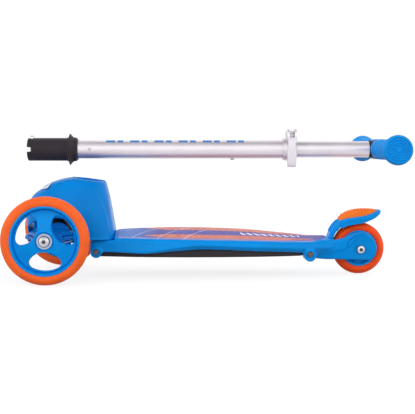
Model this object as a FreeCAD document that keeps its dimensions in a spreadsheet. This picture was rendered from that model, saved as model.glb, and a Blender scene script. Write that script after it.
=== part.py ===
import FreeCAD, Part
import os
import re
import sys

import Sketcher

# A child's three-wheel kick scooter, packed for carrying: the T-bar column is out of its socket and
# lies level above the deck. +X points to the rear, -Y to the rider's left, +Z up. The origin is the
# middle of the whole object, on the ground.

SIZES = {
    # the layout
    "front_axle_x": -229.8,
    "wheelbase": 470.0,
    "half_track": 120.0,
    "column_z": 193.0,
    "bar_x": 501.5,
    "half_bar": 145.0,
    # wheels and bearings
    "front_radius": 63.5,
    "front_rim": 50.5,
    "front_width": 24.0,
    "rear_radius": 40.0,
    "rear_rim": 28.0,
    "rear_width": 24.0,
    "hub_half": 10.0,
    "bearing_radius": 11.0,
    "bearing_width": 7.0,
    "axle_radius": 4.0,
    # the king bolt of the front truck
    "king_z": 64.0,
    "king_angle": 30.0,
    "hub_radius": 15.0,
    "hub_length": 15.0,
    "beam_start": 33.0,
    "beam_end": 104.0,
    "beam_top": 75.0,
    "beam_bottom": 53.0,
    "bumper_y": 36.0,
    "bumper_top": 92.0,
    # the socket and the column
    "tilt": 7.0,
    "mouth_x": 53.5,
    "mouth_z": 146.7,
    "socket_bore": 17.8,
    "socket_depth": 64.0,
    "plug_radius": 17.5,
    "plug_tip": -40.0,
    "plug_length": 63.1,
    "collar_radius": 24.0,
    "tube_radius": 14.0,
    "tube_wall": 1.3,
    "tube_end": 371.0,
    "inner_radius": 12.5,
    "inner_wall": 1.5,
    "inner_start": 88.0,
    "clamp_x": 364.0,
    "clamp_half": 7.5,
    "lever_y": -17.5,
    "lever_z": 214.6,
    "guide_x": 274.0,
    "slot_start": 168.0,
    "button_x": -33.5,
    # the deck
    "pan_bottom": 31.0,
    "deck_bottom": 37.0,
    "arm_inner": 16.0,
    "arm_outer": 28.0,
    "brake_x": 423.0,
    "brake_z": 46.0,
}

# Stations along the deck: place, half width, edge height, height of the crown over the edge
DECK_STATIONS = (
    (84, 50, 58.5, 8.0),
    (98, 53, 58.4, 9.0),
    (130, 60, 58.2, 11.5),
    (215, 66, 56.5, 14.5),
    (290, 64, 55.0, 14.0),
    (350, 56, 53.0, 10.5),
    (396, 42, 51.5, 7.2),
    (420, 33, 51.5, 6.0),
)
MAT_INSET = 5
MAT_THICKNESS = 1.5
RIB_STATIONS = DECK_STATIONS[2:6]
RIB_HALF = 34
SCREW_Y = 24
SCREW_RADIUS = 1.75

# Bolted bosses under the deck: name, place, height, boss radius, inner face, outer face, nut's inner face
LUGS = (
    ("front", 67, 40, 8.0, 39, 53, 36),
    ("rear", 390, 35, 8.5, 28, 47.5, 13),
)

# Levels of the front cover: height, front end, rear end, half width, corner radius
COVER_LEVELS = (
    (58, -40, 95.0, 54, 30),
    (90, -40.5, 90.0, 56, 30),
    (119, -36.5, 85.5, 51, 28),
    (134, -19, 83.0, 45, 26),
    (143, -1, 81.5, 38, 24),
    (148.5, 20, 79.5, 29, 20),
    (151, 28, 78.5, 25, 18),
)
COVER_WALL = 3

doc = FreeCAD.newDocument("kick_scooter")
sheet = doc.addObject("Spreadsheet::Sheet", "sizes")
for row, (alias, number) in enumerate(SIZES.items(), start=1):
    sheet.set(f"A{row}", alias)
    sheet.set(f"B{row}", str(number))
    sheet.setAlias(f"B{row}", alias)
doc.recompute()

nodes = []


# ---------------------------------------------------------------- helpers

def bound(text):
    """An expression with the sheet's name in front of each alias."""
    return re.sub(r"[a-z_]+", lambda word: "sizes." + word[0] if word[0] in SIZES else word[0], str(text))


def number_of(text):
    return float(sheet.evalExpression(str(text)))


def bind(item, **properties):
    for name, text in properties.items():
        setattr(item, name, number_of(text))
        item.setExpression(name, bound(text))
    return item


def place(item, centre=(0, 0, 0), axis=(0, 0, 1), angle=0):
    """Put a piece at a point given from the front axle, turned about an axis."""
    item.Placement = FreeCAD.Placement(FreeCAD.Vector(), FreeCAD.Rotation(FreeCAD.Vector(*axis), angle))
    x, y, z = centre
    item.setExpression("Placement.Base.x", bound(f"front_axle_x + {x}"))
    item.setExpression("Placement.Base.y", bound(y))
    item.setExpression("Placement.Base.z", bound(z))
    return item


def node(item, label):
    item.Label = label
    nodes.append(item)
    return item


def new(kind, name):
    return doc.addObject(kind, name)


def origin_plane(body, role):
    return next(item for item in body.Origin.OriginFeatures if item.Role == role)


def new_sketch(body, name, role, offset=None):
    sketch = body.newObject("Sketcher::SketchObject", name)
    sketch.AttachmentSupport = [(origin_plane(body, role), "")]
    sketch.MapMode = "FlatFace"
    if offset is not None:
        sketch.setExpression("AttachmentOffset.Base.z", bound(offset))
    return sketch


def hold(sketch, line, end, x, y):
    """Fix one end of a line at a point given by two expressions."""
    for kind, text, across in (("DistanceX", x, -2), ("DistanceY", y, -1)):
        distance = number_of(text)
        if abs(distance) < 1e-9:
            sketch.addConstraint(Sketcher.Constraint("PointOnObject", line, end, across))
        else:
            rule = sketch.addConstraint(Sketcher.Constraint(kind, -1, 1, line, end, distance))
            sketch.setExpression(f"Constraints[{rule}]", bound(text))


def outline(body, name, role, points, offset=None):
    """A closed sketch of straight lines through points given by expressions."""
    sketch = new_sketch(body, name, role, offset)
    corners = [FreeCAD.Vector(number_of(x), number_of(y), 0) for x, y in points]
    count = len(corners)
    for index in range(count):
        sketch.addGeometry(Part.LineSegment(corners[index], corners[(index + 1) % count]))
    for index in range(count):
        sketch.addConstraint(Sketcher.Constraint("Coincident", index, 2, (index + 1) % count, 1))
    for index, (x, y) in enumerate(points):
        hold(sketch, index, 1, x, y)
    return sketch


def turned(name, profile, centre=(0, 0, 0), axis=(0, 0, 1), angle=0):
    """A body of revolution about its own Z axis: the profile is (radius, height) pairs."""
    body = new("PartDesign::Body", name)
    sketch = outline(body, name + "_profile", "XZ_Plane", profile)
    spin = body.newObject("PartDesign::Revolution", name + "_turn")
    spin.Profile = sketch
    spin.ReferenceAxis = (sketch, ["V_Axis"])
    spin.Angle = 360
    return place(body, centre, axis, angle)


def ring(inner, outer, low, high):
    return [(inner, low), (outer, low), (outer, high), (inner, high)]


def plate(name, role, points, thickness, centre=(0, 0, 0), axis=(0, 0, 1), angle=0):
    """A body padded equally to both sides of one of its origin planes."""
    body = new("PartDesign::Body", name)
    sketch = outline(body, name + "_outline", role, points)
    pad = body.newObject("PartDesign::Pad", name + "_pad")
    pad.Profile = sketch
    pad.SideType = "Symmetric"
    bind(pad, Length=thickness)
    return place(body, centre, axis, angle)


def box(name, low, high):
    """A box between two corners given from the front axle."""
    item = new("Part::Box", name)
    sides = [f"({end}) - ({start})" for start, end in zip(low, high)]
    bind(item, Length=sides[0], Width=sides[1], Height=sides[2])
    return place(item, low)


def rod(name, radius, length, centre, axis=(0, 0, 1), angle=0):
    """A cylinder that starts at a point and runs along its own Z axis."""
    item = new("Part::Cylinder", name)
    bind(item, Radius=radius, Height=length)
    return place(item, centre, axis, angle)


def cross_rod(name, radius, low, high, x, z):
    """A cylinder along Y."""
    return rod(name, radius, f"({high}) - ({low})", (x, low, z), (1, 0, 0), -90)


def fuse(name, *items):
    joined = new("Part::MultiFuse", name)
    joined.Shapes = list(items)
    return joined


def cut(name, base, *tools):
    result = new("Part::Cut", name)
    result.Base = base
    result.Tool = tools[0] if len(tools) == 1 else fuse(name + "_tools", *tools)
    return result


def group(name, items):
    """Identical pieces that share one node, as separate solids."""
    together = new("Part::Compound", name)
    together.Links = list(items)
    return together


# ---------------------------------------------------------------- wheels

def tyre_profile(rim, radius, width):
    half = f"({width}) / 2"
    return [
        (rim, f"-{half} + 1"), (f"{radius} - 8", f"-{half}"), (f"{radius} - 3", f"-{half} + 2.5"),
        (radius, f"-{half} + 8"), (radius, f"{half} - 8"), (f"{radius} - 3", f"{half} - 2.5"),
        (f"{radius} - 8", half), (rim, f"{half} - 1"),
    ]


def core_profile(rim, width, web):
    half = f"({width}) / 2"
    seat = "hub_half - bearing_width"
    return [
        ("bearing_radius", "-hub_half"), ("bearing_radius + 4", "-hub_half"),
        ("bearing_radius + 4", f"-{web}"), (f"{rim} - 5", f"-{web}"), (f"{rim} - 5", f"-{half} + 1"),
        (rim, f"-{half} + 1"), (rim, f"{half} - 1"), (f"{rim} - 5", f"{half} - 1"),
        (f"{rim} - 5", web), ("bearing_radius + 4", web), ("bearing_radius + 4", "hub_half"),
        ("bearing_radius", "hub_half"), ("bearing_radius", seat), ("bearing_radius - 2", seat),
        ("bearing_radius - 2", f"-({seat})"), ("bearing_radius", f"-({seat})"),
    ]


def spoke_holes(core, name, reach, half_width):
    """Three rounded windows between the spokes."""
    points = [
        (f"-{half_width}", f"-{reach} + 3"), (f"-{half_width} + 5", f"-{reach} + 10"),
        (f"-{half_width} / 2.6", f"-{reach} + 16"), (f"{half_width} / 2.6", f"-{reach} + 16"),
        (f"{half_width} - 5", f"-{reach} + 10"), (half_width, f"-{reach} + 3"),
        (f"{half_width} - 6", f"-{reach} - 6"), (f"{half_width} / 3", f"-{reach} - 10"),
        (f"-{half_width} / 3", f"-{reach} - 10"), (f"-{half_width} + 6", f"-{reach} - 6"),
    ]
    sketch = outline(core, name + "_window", "XY_Plane", points)
    window = core.newObject("PartDesign::Pocket", name + "_pocket")
    window.Profile = sketch
    window.Type = "ThroughAll"
    window.SideType = "Symmetric"
    doc.recompute()
    pattern = core.newObject("PartDesign::PolarPattern", name + "_windows")
    pattern.Originals = [window]
    pattern.Axis = (sketch, ["N_Axis"])
    pattern.Angle = 360
    pattern.Occurrences = 3
    core.Tip = pattern


def bearing_pieces(name, centre, place_args):
    """The outer rings with their seals, and the balls, of a wheel's two bearings."""
    x, y, z = centre
    rings = []
    balls = []
    for side in (-1, 1):
        middle = f"{side} * (hub_half - bearing_width / 2)"
        spot = (x, f"{y} + {middle}", z)
        rings.append(turned(f"{name}_ring_{side + 1}", [
            ("bearing_radius", "-bearing_width / 2"), ("bearing_radius", "bearing_width / 2"),
            (6.3, "bearing_width / 2"), (6.3, "bearing_width / 2 - 0.6"),
            (9.3, "bearing_width / 2 - 0.6"), (9.3, "-bearing_width / 2 + 0.6"),
            (6.3, "-bearing_width / 2 + 0.6"), (6.3, "-bearing_width / 2"),
        ], spot, *place_args))
        for index in range(7):
            turn = f"{index} * 360 / 7"
            ball = bind(new("Part::Sphere", f"{name}_ball_{side + 1}_{index}"), Radius=1.5)
            balls.append(place(ball, (f"{x} + 7.6 * cos({turn})", f"{y} + {middle}",
                                      f"{z} + 7.6 * sin({turn})")))
    node(group(name + "_bearing_rings", rings), name + "_bearing_rings")
    node(group(name + "_bearing_balls", balls), name + "_bearing_balls")


def wheel(name, centre, radius, rim, width, web, windows):
    across = ((1, 0, 0), -90)
    node(turned(name + "_tyre", tyre_profile(rim, radius, width), centre, *across), name + "_tyre")
    core = turned(name + "_core", core_profile(rim, width, web), centre, *across)
    if windows:
        spoke_holes(core, name, 32, 23)
    node(core, name + "_core")
    bearing_pieces(name, centre, across)


wheel("left_front", (0, "-half_track", "front_radius"), "front_radius", "front_rim", "front_width", 5, True)
wheel("right_front", (0, "half_track", "front_radius"), "front_radius", "front_rim", "front_width", 5, True)
wheel("rear", ("wheelbase", 0, "rear_radius"), "rear_radius", "rear_rim", "rear_width", 6, False)


def inner_rings(name, wheels):
    """Bearing inner rings and the sleeve that keeps each pair apart."""
    rings = []
    sleeves = []
    for index, (x, y, z) in enumerate(wheels):
        for side in (-1, 1):
            spot = (x, f"{y} + {side} * (hub_half - bearing_width / 2)", z)
            rings.append(turned(f"{name}_inner_{index}_{side + 1}",
                                ring("axle_radius", 5.9, "-bearing_width / 2", "bearing_width / 2"),
                                spot, (1, 0, 0), -90))
        sleeves.append(turned(f"{name}_sleeve_{index}",
                              ring("axle_radius", 5.6, "-(hub_half - bearing_width)",
                                   "hub_half - bearing_width"),
                              (x, y, z), (1, 0, 0), -90))
    node(group(name + "_inner_rings", rings), name + "_inner_rings")
    node(group(name + "_sleeves", sleeves), name + "_sleeves")


inner_rings("front_axle", [(0, "-half_track", "front_radius"), (0, "half_track", "front_radius")])
inner_rings("rear_axle", [("wheelbase", 0, "rear_radius")])


# ---------------------------------------------------------------- front truck

KING_CENTRE = (0, 0, "king_z")
KING_TURN = ((0, 1, 0), -SIZES["king_angle"])


def front_truck():
    """A wide lens-shaped beam on each side of an inclined hub."""
    sides = []
    for side, start, end in ((0, "-beam_end", "-beam_start"), (1, "beam_start", "beam_end")):
        arm = new("PartDesign::Body", f"truck_arm_{side}")
        profile = outline(arm, f"truck_arm_{side}_profile", "XZ_Plane", [
            (-35, 64), (-28, 71), (-14, "beam_top"), (16, "beam_top"), (30, 71), (38, 63.5),
            (30, 57), (14, "beam_bottom"), (-14, "beam_bottom"), (-28, 57)], f"-({end})")
        pad = arm.newObject("PartDesign::Pad", f"truck_arm_{side}_pad")
        pad.Profile = profile
        bind(pad, Length=f"({end}) - ({start})")
        sides.append(place(arm))
    bar = box("truck_bar", (-13, "-beam_start - 2", 56), (13, "beam_start + 2", 72))
    ends = cross_rod("truck_ends", 10, "-half_track + hub_half + 0.8", "half_track - hub_half - 0.8",
                     0, "front_radius")
    hub = rod("truck_hub", "hub_radius", "2 * hub_length", KING_CENTRE, *KING_TURN)
    hub.Placement.Base = FreeCAD.Vector()
    king = FreeCAD.Rotation(FreeCAD.Vector(*KING_TURN[0]), KING_TURN[1]).multVec(FreeCAD.Vector(0, 0, 1))
    hub.setExpression("Placement.Base.x", bound(f"front_axle_x - {king.x} * hub_length"))
    hub.setExpression("Placement.Base.z", bound(f"king_z - {king.z} * hub_length"))
    solid = fuse("truck_solid", *sides, bar, ends, hub)
    bore = turned("truck_bore", [(0, -40), (6, -40), (6, 40), (0, 40)], KING_CENTRE, *KING_TURN)
    faces = [turned(f"truck_face_{name}", [(0, low), (40, low), (40, high), (0, high)],
                    KING_CENTRE, *KING_TURN)
             for name, low, high in (("top", "hub_length", 30), ("foot", -30, "-hub_length"))]
    middle = box("truck_middle", (-60, "-beam_start", 0), (60, "beam_start", 140))
    trims = []
    for face in faces:
        trim = new("Part::Common", face.Name + "_trim")
        trim.Base = face
        trim.Tool = middle
        trims.append(trim)
    threads = cross_rod("truck_threads", "axle_radius", "-half_track", "-half_track + 60", 0, "front_radius")
    threads_right = cross_rod("truck_threads_right", "axle_radius", "half_track - 60", "half_track",
                              0, "front_radius")
    node(cut("front_truck", solid, bore, *trims, threads, threads_right), "front_truck")


front_truck()

node(group("king_bushes", [
    turned("king_bush_top", [("axle_radius + 0.05", 2), (6, 2), (6, "hub_length"), (12, "hub_length"),
                             (12, "hub_length + 2"), ("axle_radius + 0.05", "hub_length + 2")],
           KING_CENTRE, *KING_TURN),
    turned("king_bush_foot", [("axle_radius + 0.05", -2), (6, -2), (6, "-hub_length"),
                              (12, "-hub_length"), (12, "-hub_length - 2"),
                              ("axle_radius + 0.05", "-hub_length - 2")],
           KING_CENTRE, *KING_TURN),
]), "king_bushes")

DOMED_BOLT = [(0, -45), ("axle_radius", -45), ("axle_radius", "hub_half + 0.8"), (8.5, "hub_half + 0.8"),
              (8.5, "hub_half + 2.5"), (7.2, "hub_half + 4.6"), (4.5, "hub_half + 6"), (0, "hub_half + 6.4")]
WASHER = ring("axle_radius", 5.9, "hub_half", "hub_half + 0.8")

axle_bolts = []
axle_washers = []
for side, turn in ((-1, 90), (1, -90)):
    spot = (0, f"{side} * half_track", "front_radius")
    axle_bolts.append(turned(f"axle_bolt_{side + 1}", DOMED_BOLT, spot, (1, 0, 0), turn))
    axle_washers.append(turned(f"outer_washer_{side + 1}", WASHER, spot, (1, 0, 0), turn))
    axle_washers.append(turned(f"inner_washer_{side + 1}", WASHER, spot, (1, 0, 0), -turn))
node(group("front_axle_bolts", axle_bolts), "front_axle_bolts")
node(group("front_axle_washers", axle_washers), "front_axle_washers")


# ---------------------------------------------------------------- king bolt and its bracket

def truck_bracket():
    """A C-shaped bracket that holds both ends of the king bolt, with a foot on the deck."""
    solid = fuse(
        "bracket_solid",
        plate("bracket_top", "XY_Plane", [(-13, -15), (24, -15), (24, 15), (-13, 15)], 7.4,
              ("-21.1 * sin(king_angle)", 0, "king_z + 21.1 * cos(king_angle)"), *KING_TURN),
        plate("bracket_base", "XY_Plane", [(-13, -15), (24, -15), (24, 15), (-13, 15)], 7.4,
              ("21.1 * sin(king_angle)", 0, "king_z - 21.1 * cos(king_angle)"), *KING_TURN),
        plate("bracket_spine", "YZ_Plane", [(-15, -24.8), (15, -24.8), (15, 24.8), (-15, 24.8)], 5,
              ("21.5 * cos(king_angle)", 0, "king_z + 21.5 * sin(king_angle)"), *KING_TURN),
        box("bracket_beam", (-5, -46, "bumper_top"), (15, 46, "bumper_top + 4")),
        box("bracket_foot", (26, -15, 56), (80, 15, 60)),
        box("bracket_root", (26, -15, 50), (34, 15, 60)),
    )
    hole = turned("bracket_hole", [(0, -40), ("axle_radius", -40), ("axle_radius", 60), (0, 60)],
                  KING_CENTRE, *KING_TURN)
    room = turned("bracket_room", [(0, "-hub_length - 2.3"), ("hub_radius + 2", "-hub_length - 2.3"),
                                   ("hub_radius + 2", "hub_length + 2.3"), (0, "hub_length + 2.3")],
                  KING_CENTRE, *KING_TURN)
    node(cut("truck_bracket", solid, hole, room), "truck_bracket")


truck_bracket()

node(turned("king_bolt", [(0, -34), ("axle_radius", -34), ("axle_radius", 24.8), (6.5, 24.8), (6.5, 30), (0, 30)],
            KING_CENTRE, *KING_TURN), "king_bolt")
node(turned("king_nut", ring("axle_radius", 6.5, -31.5, -24.8), KING_CENTRE, *KING_TURN), "king_nut")
node(group("truck_bumpers", [
    rod(f"truck_bumper_{side + 1}", 8, "bumper_top - beam_top", (5, f"{side} * bumper_y", "beam_top"))
    for side in (-1, 1)]), "truck_bumpers")


# ---------------------------------------------------------------- deck

def crowned_section(body, name, station, inset, bottom, lift):
    """A section across the deck: flat foot, straight sides and an arched top."""
    x, half, edge, crown = station
    half -= inset
    edge += lift
    radius = (half * half + crown * crown) / (2 * crown)
    sketch = new_sketch(body, name, "YZ_Plane", f"front_axle_x + {x}")
    foot = number_of(bottom)
    corners = [FreeCAD.Vector(-half, foot, 0), FreeCAD.Vector(half, foot, 0),
               FreeCAD.Vector(half, edge, 0), FreeCAD.Vector(-half, edge, 0)]
    for start, end in ((0, 1), (1, 2), (3, 0)):
        sketch.addGeometry(Part.LineSegment(corners[start], corners[end]))
    sketch.addGeometry(Part.Arc(corners[2], FreeCAD.Vector(0, edge + crown, 0), corners[3]))
    sketch.addConstraint(Sketcher.Constraint("Coincident", 0, 2, 1, 1))
    sketch.addConstraint(Sketcher.Constraint("Coincident", 2, 2, 0, 1))
    sketch.addConstraint(Sketcher.Constraint("Coincident", 1, 2, 3, 1))
    sketch.addConstraint(Sketcher.Constraint("Coincident", 2, 1, 3, 2))
    hold(sketch, 0, 1, -half, bottom)
    hold(sketch, 1, 1, half, bottom)
    hold(sketch, 1, 2, half, edge)
    hold(sketch, 2, 1, -half, edge)
    sketch.addConstraint(Sketcher.Constraint("Radius", 3, radius))
    return sketch


def crown_height(station, y):
    """Height of the deck's arched top at a distance y from its middle."""
    _, half, edge, crown = station
    radius = (half * half + crown * crown) / (2 * crown)
    return edge + crown - radius + (radius * radius - y * y) ** 0.5


def loft(body, kind, name, sections):
    feature = body.newObject("PartDesign::" + kind, name)
    feature.Profile = sections[0]
    feature.Sections = sections[1:]
    feature.Ruled = True
    return feature


def deck_shell():
    body = new("PartDesign::Body", "deck_shell")
    outer = [crowned_section(body, f"deck_out_{index}", station, 0, "deck_bottom", 0)
             for index, station in enumerate(DECK_STATIONS)]
    loft(body, "AdditiveLoft", "deck_loft", outer)
    inside = [(DECK_STATIONS[1][0] + 4, *DECK_STATIONS[1][1:]), *DECK_STATIONS[2:-1]]
    inner = [crowned_section(body, f"deck_in_{index}", station, 4, "deck_bottom - 1", -3.5)
             for index, station in enumerate(inside)]
    loft(body, "SubtractiveLoft", "deck_hollow", inner)
    return body


def fork_arm(name, middle):
    """One side of the rear fork, with a round end on the wheel's axle."""
    bar = plate(name + "_bar", "XZ_Plane", [
        (376, 50), (402, 50.5), (440, 55), (452, 60), ("wheelbase", 66), ("wheelbase + 20", 56),
        ("wheelbase + 26", 40), ("wheelbase + 18", 23), (440, 24.3), (396, 27), (376, 30)],
        "arm_outer - arm_inner", ("0", middle, 0))
    end = cross_rod(name + "_end", 26, f"{middle} - (arm_outer - arm_inner) / 2",
                    f"{middle} + (arm_outer - arm_inner) / 2", "wheelbase", "rear_radius")
    below = box(name + "_below", ("wheelbase - 40", f"{middle} - 10", 0), ("wheelbase + 40", f"{middle} + 10", 23))
    return cut(name, fuse(name + "_solid", bar, end), below)


def deck():
    """The moulded deck: crowned shell, ribs, tongue under the cover, rear fork and bolt bosses."""
    arm_middle = "(arm_outer + arm_inner) / 2"
    pieces = [
        deck_shell(),
        box("deck_tongue", (34, -17, 46), (92, 17, 56)),
        box("deck_shoulder", (60, -46, 46), (92, 46, 56)),
        box("deck_web", (398, "-arm_outer", 31), (414, "arm_outer", 50)),
        fork_arm("fork_left", f"-({arm_middle})"),
        fork_arm("fork_right", arm_middle),
    ]
    tools = [
        cross_rod("deck_axle_hole", "axle_radius", -60, 60, "wheelbase", "rear_radius"),
        cross_rod("deck_brake_hole", 2.5, "-arm_outer - 5", "arm_outer + 5", "brake_x", "brake_z"),
        box("deck_brake_room", (414, "-arm_inner", 0), (520, "arm_inner", 90)),
    ]
    for index, station in enumerate(RIB_STATIONS):
        x = station[0]
        top = crown_height(station, RIB_HALF) - 1.5
        pieces.append(box(f"deck_rib_{index}", (x - 2, -RIB_HALF, "pan_bottom + 3"), (x + 2, RIB_HALF, top)))
        for side in (-1, 1):
            spot = (x, side * SCREW_Y, "pan_bottom + 3")
            pieces.append(rod(f"deck_post_{index}_{side + 1}", 4, 20, spot))
            tools.append(rod(f"deck_post_hole_{index}_{side + 1}", SCREW_RADIUS, 8, spot))
    for name, x, z, radius, inside, outside, nut in LUGS:
        for side in (-1, 1):
            low, high = sorted((side * inside, side * outside))
            pieces.append(cross_rod(f"boss_{name}_{side + 1}", radius, low, high, x, z))
            low, high = sorted((side * (nut - 1), side * (outside + 1)))
            tools.append(cross_rod(f"boss_hole_{name}_{side + 1}", 2.5, low, high, x, z))
    for side in (-1, 1):
        tools.append(cross_rod(f"axle_recess_{side + 1}", 9, f"{side} * arm_outer - 3", f"{side} * arm_outer + 3",
                               "wheelbase", "rear_radius"))
    solid = fuse("deck_solid", *pieces)
    node(cut("deck", solid, *tools), "deck")
    return solid


deck_solid = deck()


def grip_mat():
    """A thin rubber sheet that follows the crown of the deck."""
    body = new("PartDesign::Body", "mat_body")
    sections = []
    for index, station in enumerate(DECK_STATIONS[1:-1]):
        half = station[1] - MAT_INSET
        edge = crown_height(station, half)
        peak = crown_height(station, 0)
        low = [FreeCAD.Vector(half, edge, 0), FreeCAD.Vector(0, peak, 0), FreeCAD.Vector(-half, edge, 0)]
        high = [point + FreeCAD.Vector(0, MAT_THICKNESS, 0) for point in low]
        sketch = new_sketch(body, f"mat_{index}", "YZ_Plane", f"front_axle_x + {station[0]}")
        sketch.addGeometry(Part.Arc(*low))
        sketch.addGeometry(Part.LineSegment(low[2], high[2]))
        sketch.addGeometry(Part.Arc(*reversed(high)))
        sketch.addGeometry(Part.LineSegment(high[0], low[0]))
        sections.append(sketch)
    loft(body, "AdditiveLoft", "mat_loft", sections)
    node(cut("deck_grip_mat", body, deck_solid), "deck_grip_mat")


grip_mat()


def underside_pan():
    """The dark pan that closes the deck from below."""
    floor = plate("pan_floor", "XY_Plane", [
        (76, -44), (110, -50), (215, -56), (350, -46), (373, -34), (373, 34), (350, 46), (215, 56),
        (110, 50), (76, 44)], 3, (0, 0, "pan_bottom + 1.5"))
    rim_out = plate("pan_rim_out", "XY_Plane", [
        (112, -47), (215, -54), (340, -44), (340, 44), (215, 54), (112, 47)], 14, (0, 0, "pan_bottom + 10"))
    rim_in = plate("pan_rim_in", "XY_Plane", [
        (115, -44), (215, -51), (337, -41), (337, 41), (215, 51), (115, 44)], 30, (0, 0, "pan_bottom + 18"))
    holes = [turned(f"pan_hole_{station[0]}_{side + 1}", [
        (0, -2), (4.2, -2), (4.2, 1.8), (SCREW_RADIUS, 1.8), (SCREW_RADIUS, 8), (0, 8)],
        (station[0], side * SCREW_Y, "pan_bottom"))
        for station in RIB_STATIONS for side in (-1, 1)]
    node(cut("underside_pan", fuse("pan_solid", floor, rim_out), rim_in, *holes), "underside_pan")


underside_pan()

PAN_SCREW = [(0, 0), (4, 0), (4, 1.6), (SCREW_RADIUS, 1.6), (SCREW_RADIUS, 10), (0, 10)]
node(group("pan_screws", [
    turned(f"pan_screw_{station[0]}_{side + 1}", PAN_SCREW, (station[0], side * SCREW_Y, "pan_bottom + 0.2"))
    for station in RIB_STATIONS for side in (-1, 1)]), "pan_screws")


def lug_fasteners():
    """Short bolts with nuts through the four bosses."""
    bolts = []
    nuts = []
    for name, x, z, _, inside, outside, nut in LUGS:
        for side, turn in ((-1, 90), (1, -90)):
            spot = (x, 0, z)
            bolts.append(turned(f"lug_bolt_{name}_{side + 1}", [
                (0, nut), (2.5, nut), (2.5, outside), (4.2, outside), (4.2, outside + 2),
                (3, outside + 3), (0, outside + 3)], spot, (1, 0, 0), turn))
            nuts.append(turned(f"lug_nut_{name}_{side + 1}", ring(2.5, 4.2, nut, nut + 3), spot, (1, 0, 0), turn))
    node(group("lug_bolts", bolts), "lug_bolts")
    node(group("lug_nuts", nuts), "lug_nuts")


lug_fasteners()

REAR_CENTRE = ("wheelbase", 0, "rear_radius")
node(turned("rear_axle_bolt", [
    (0, -34), ("axle_radius", -34), ("axle_radius", 25), (6.8, 25), (6.8, 29), (5.4, 31.5), (0, 33)],
    REAR_CENTRE, (1, 0, 0), 90), "rear_axle_bolt")
node(turned("rear_axle_nut", ring("axle_radius", 6.8, -32, -25), REAR_CENTRE, (1, 0, 0), 90), "rear_axle_nut")
node(group("rear_axle_spacers", [
    turned("rear_spacer_left", ring("axle_radius", 5.9, "hub_half", "arm_inner"), REAR_CENTRE, (1, 0, 0), 90),
    turned("rear_spacer_right", ring("axle_radius", 5.9, "hub_half", "arm_inner"), REAR_CENTRE, (1, 0, 0), -90),
]), "rear_axle_spacers")


# ---------------------------------------------------------------- brake

FENDER_SIDE = [
    ("brake_x - 5", "brake_z"), ("brake_x + 1", 62), ("brake_x + 5", 74), ("brake_x + 13", 86), (460, 89.5),
    (484, 93.5), (500, 101), (503.5, 99), (501, 94), (484, 87.5), (462, 84.2), (446, 82.8), (437, 76),
    (432, 64), ("brake_x + 5", "brake_z"),
]
BRAKE_SPOT = ("brake_x", 0, "brake_z")


def brake_fender():
    side = plate("fender_side", "XZ_Plane", FENDER_SIDE, 30)
    wide = plate("fender_plan", "XY_Plane", [
        (410, -14.5), (436, -14.5), (446, -20), (480, -20), (498, -14), (505, -6), (505, 6), (498, 14),
        (480, 20), (446, 20), (436, 14.5), (410, 14.5)], 200, (0, 0, 100))
    broad = plate("fender_broad", "XZ_Plane", FENDER_SIDE, 42)
    above = box("fender_above", (400, -30, 70), (520, 30, 120))
    lens = new("Part::MultiCommon", "fender_lens")
    lens.Shapes = [broad, wide, above]
    hub = cross_rod("fender_hub", 5.5, -11.5, 11.5, "brake_x", "brake_z")
    zone = fuse("fender_zone", box("fender_root_zone", (400, -11.5, 30), (440, 11.5, 55)),
                box("fender_upright_zone", (400, -14.5, 55), (440, 14.5, 84)))
    upright = new("Part::Common", "fender_upright")
    upright.Base = side
    upright.Tool = zone
    hole = cross_rod("fender_hole", 2.55, -20, 20, "brake_x", "brake_z")
    node(cut("brake_fender", fuse("fender_solid", upright, lens, hub), hole), "brake_fender")


brake_fender()

node(plate("brake_tread_pad", "XZ_Plane", [
    (441, 88.5), (449, 96), (462, 100.5), (482, 101.5), (497, 100.4), (484, 94.3), (460, 90.3)], 30), "brake_tread_pad")
node(plate("brake_shoe", "XZ_Plane", [
    (448, 82.2), (462, 83.4), (484, 86.7), (484, 85.5), (462, 82.3), (448, 81.1)], 18), "brake_shoe")
node(cross_rod("brake_pin", 2.5, "-arm_outer", "arm_outer", "brake_x", "brake_z"), "brake_pin")


def coil(name, radius, wire, pitch, height, start, centre, axis=(0, 0, 1), angle=0):
    """A coiled spring about its own Z axis."""
    body = new("PartDesign::Body", name)
    section = new_sketch(body, name + "_wire", "XZ_Plane")
    section.addGeometry(Part.Circle(FreeCAD.Vector(radius, start, 0), FreeCAD.Vector(0, 0, 1), wire))
    helix = body.newObject("PartDesign::AdditiveHelix", name + "_helix")
    helix.Profile = section
    helix.ReferenceAxis = (section, ["V_Axis"])
    helix.Mode = "pitch-height-angle"
    helix.Pitch = pitch
    helix.Height = height
    return place(body, centre, axis, angle)


node(group("brake_springs", [
    coil(f"brake_coil_{side + 1}", 6.7, 0.6, 1.3, 2.4, 12.7, BRAKE_SPOT, (1, 0, 0), turn)
    for side, turn in ((-1, 90), (1, -90))]), "brake_springs")


# ---------------------------------------------------------------- front cover and socket

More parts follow.
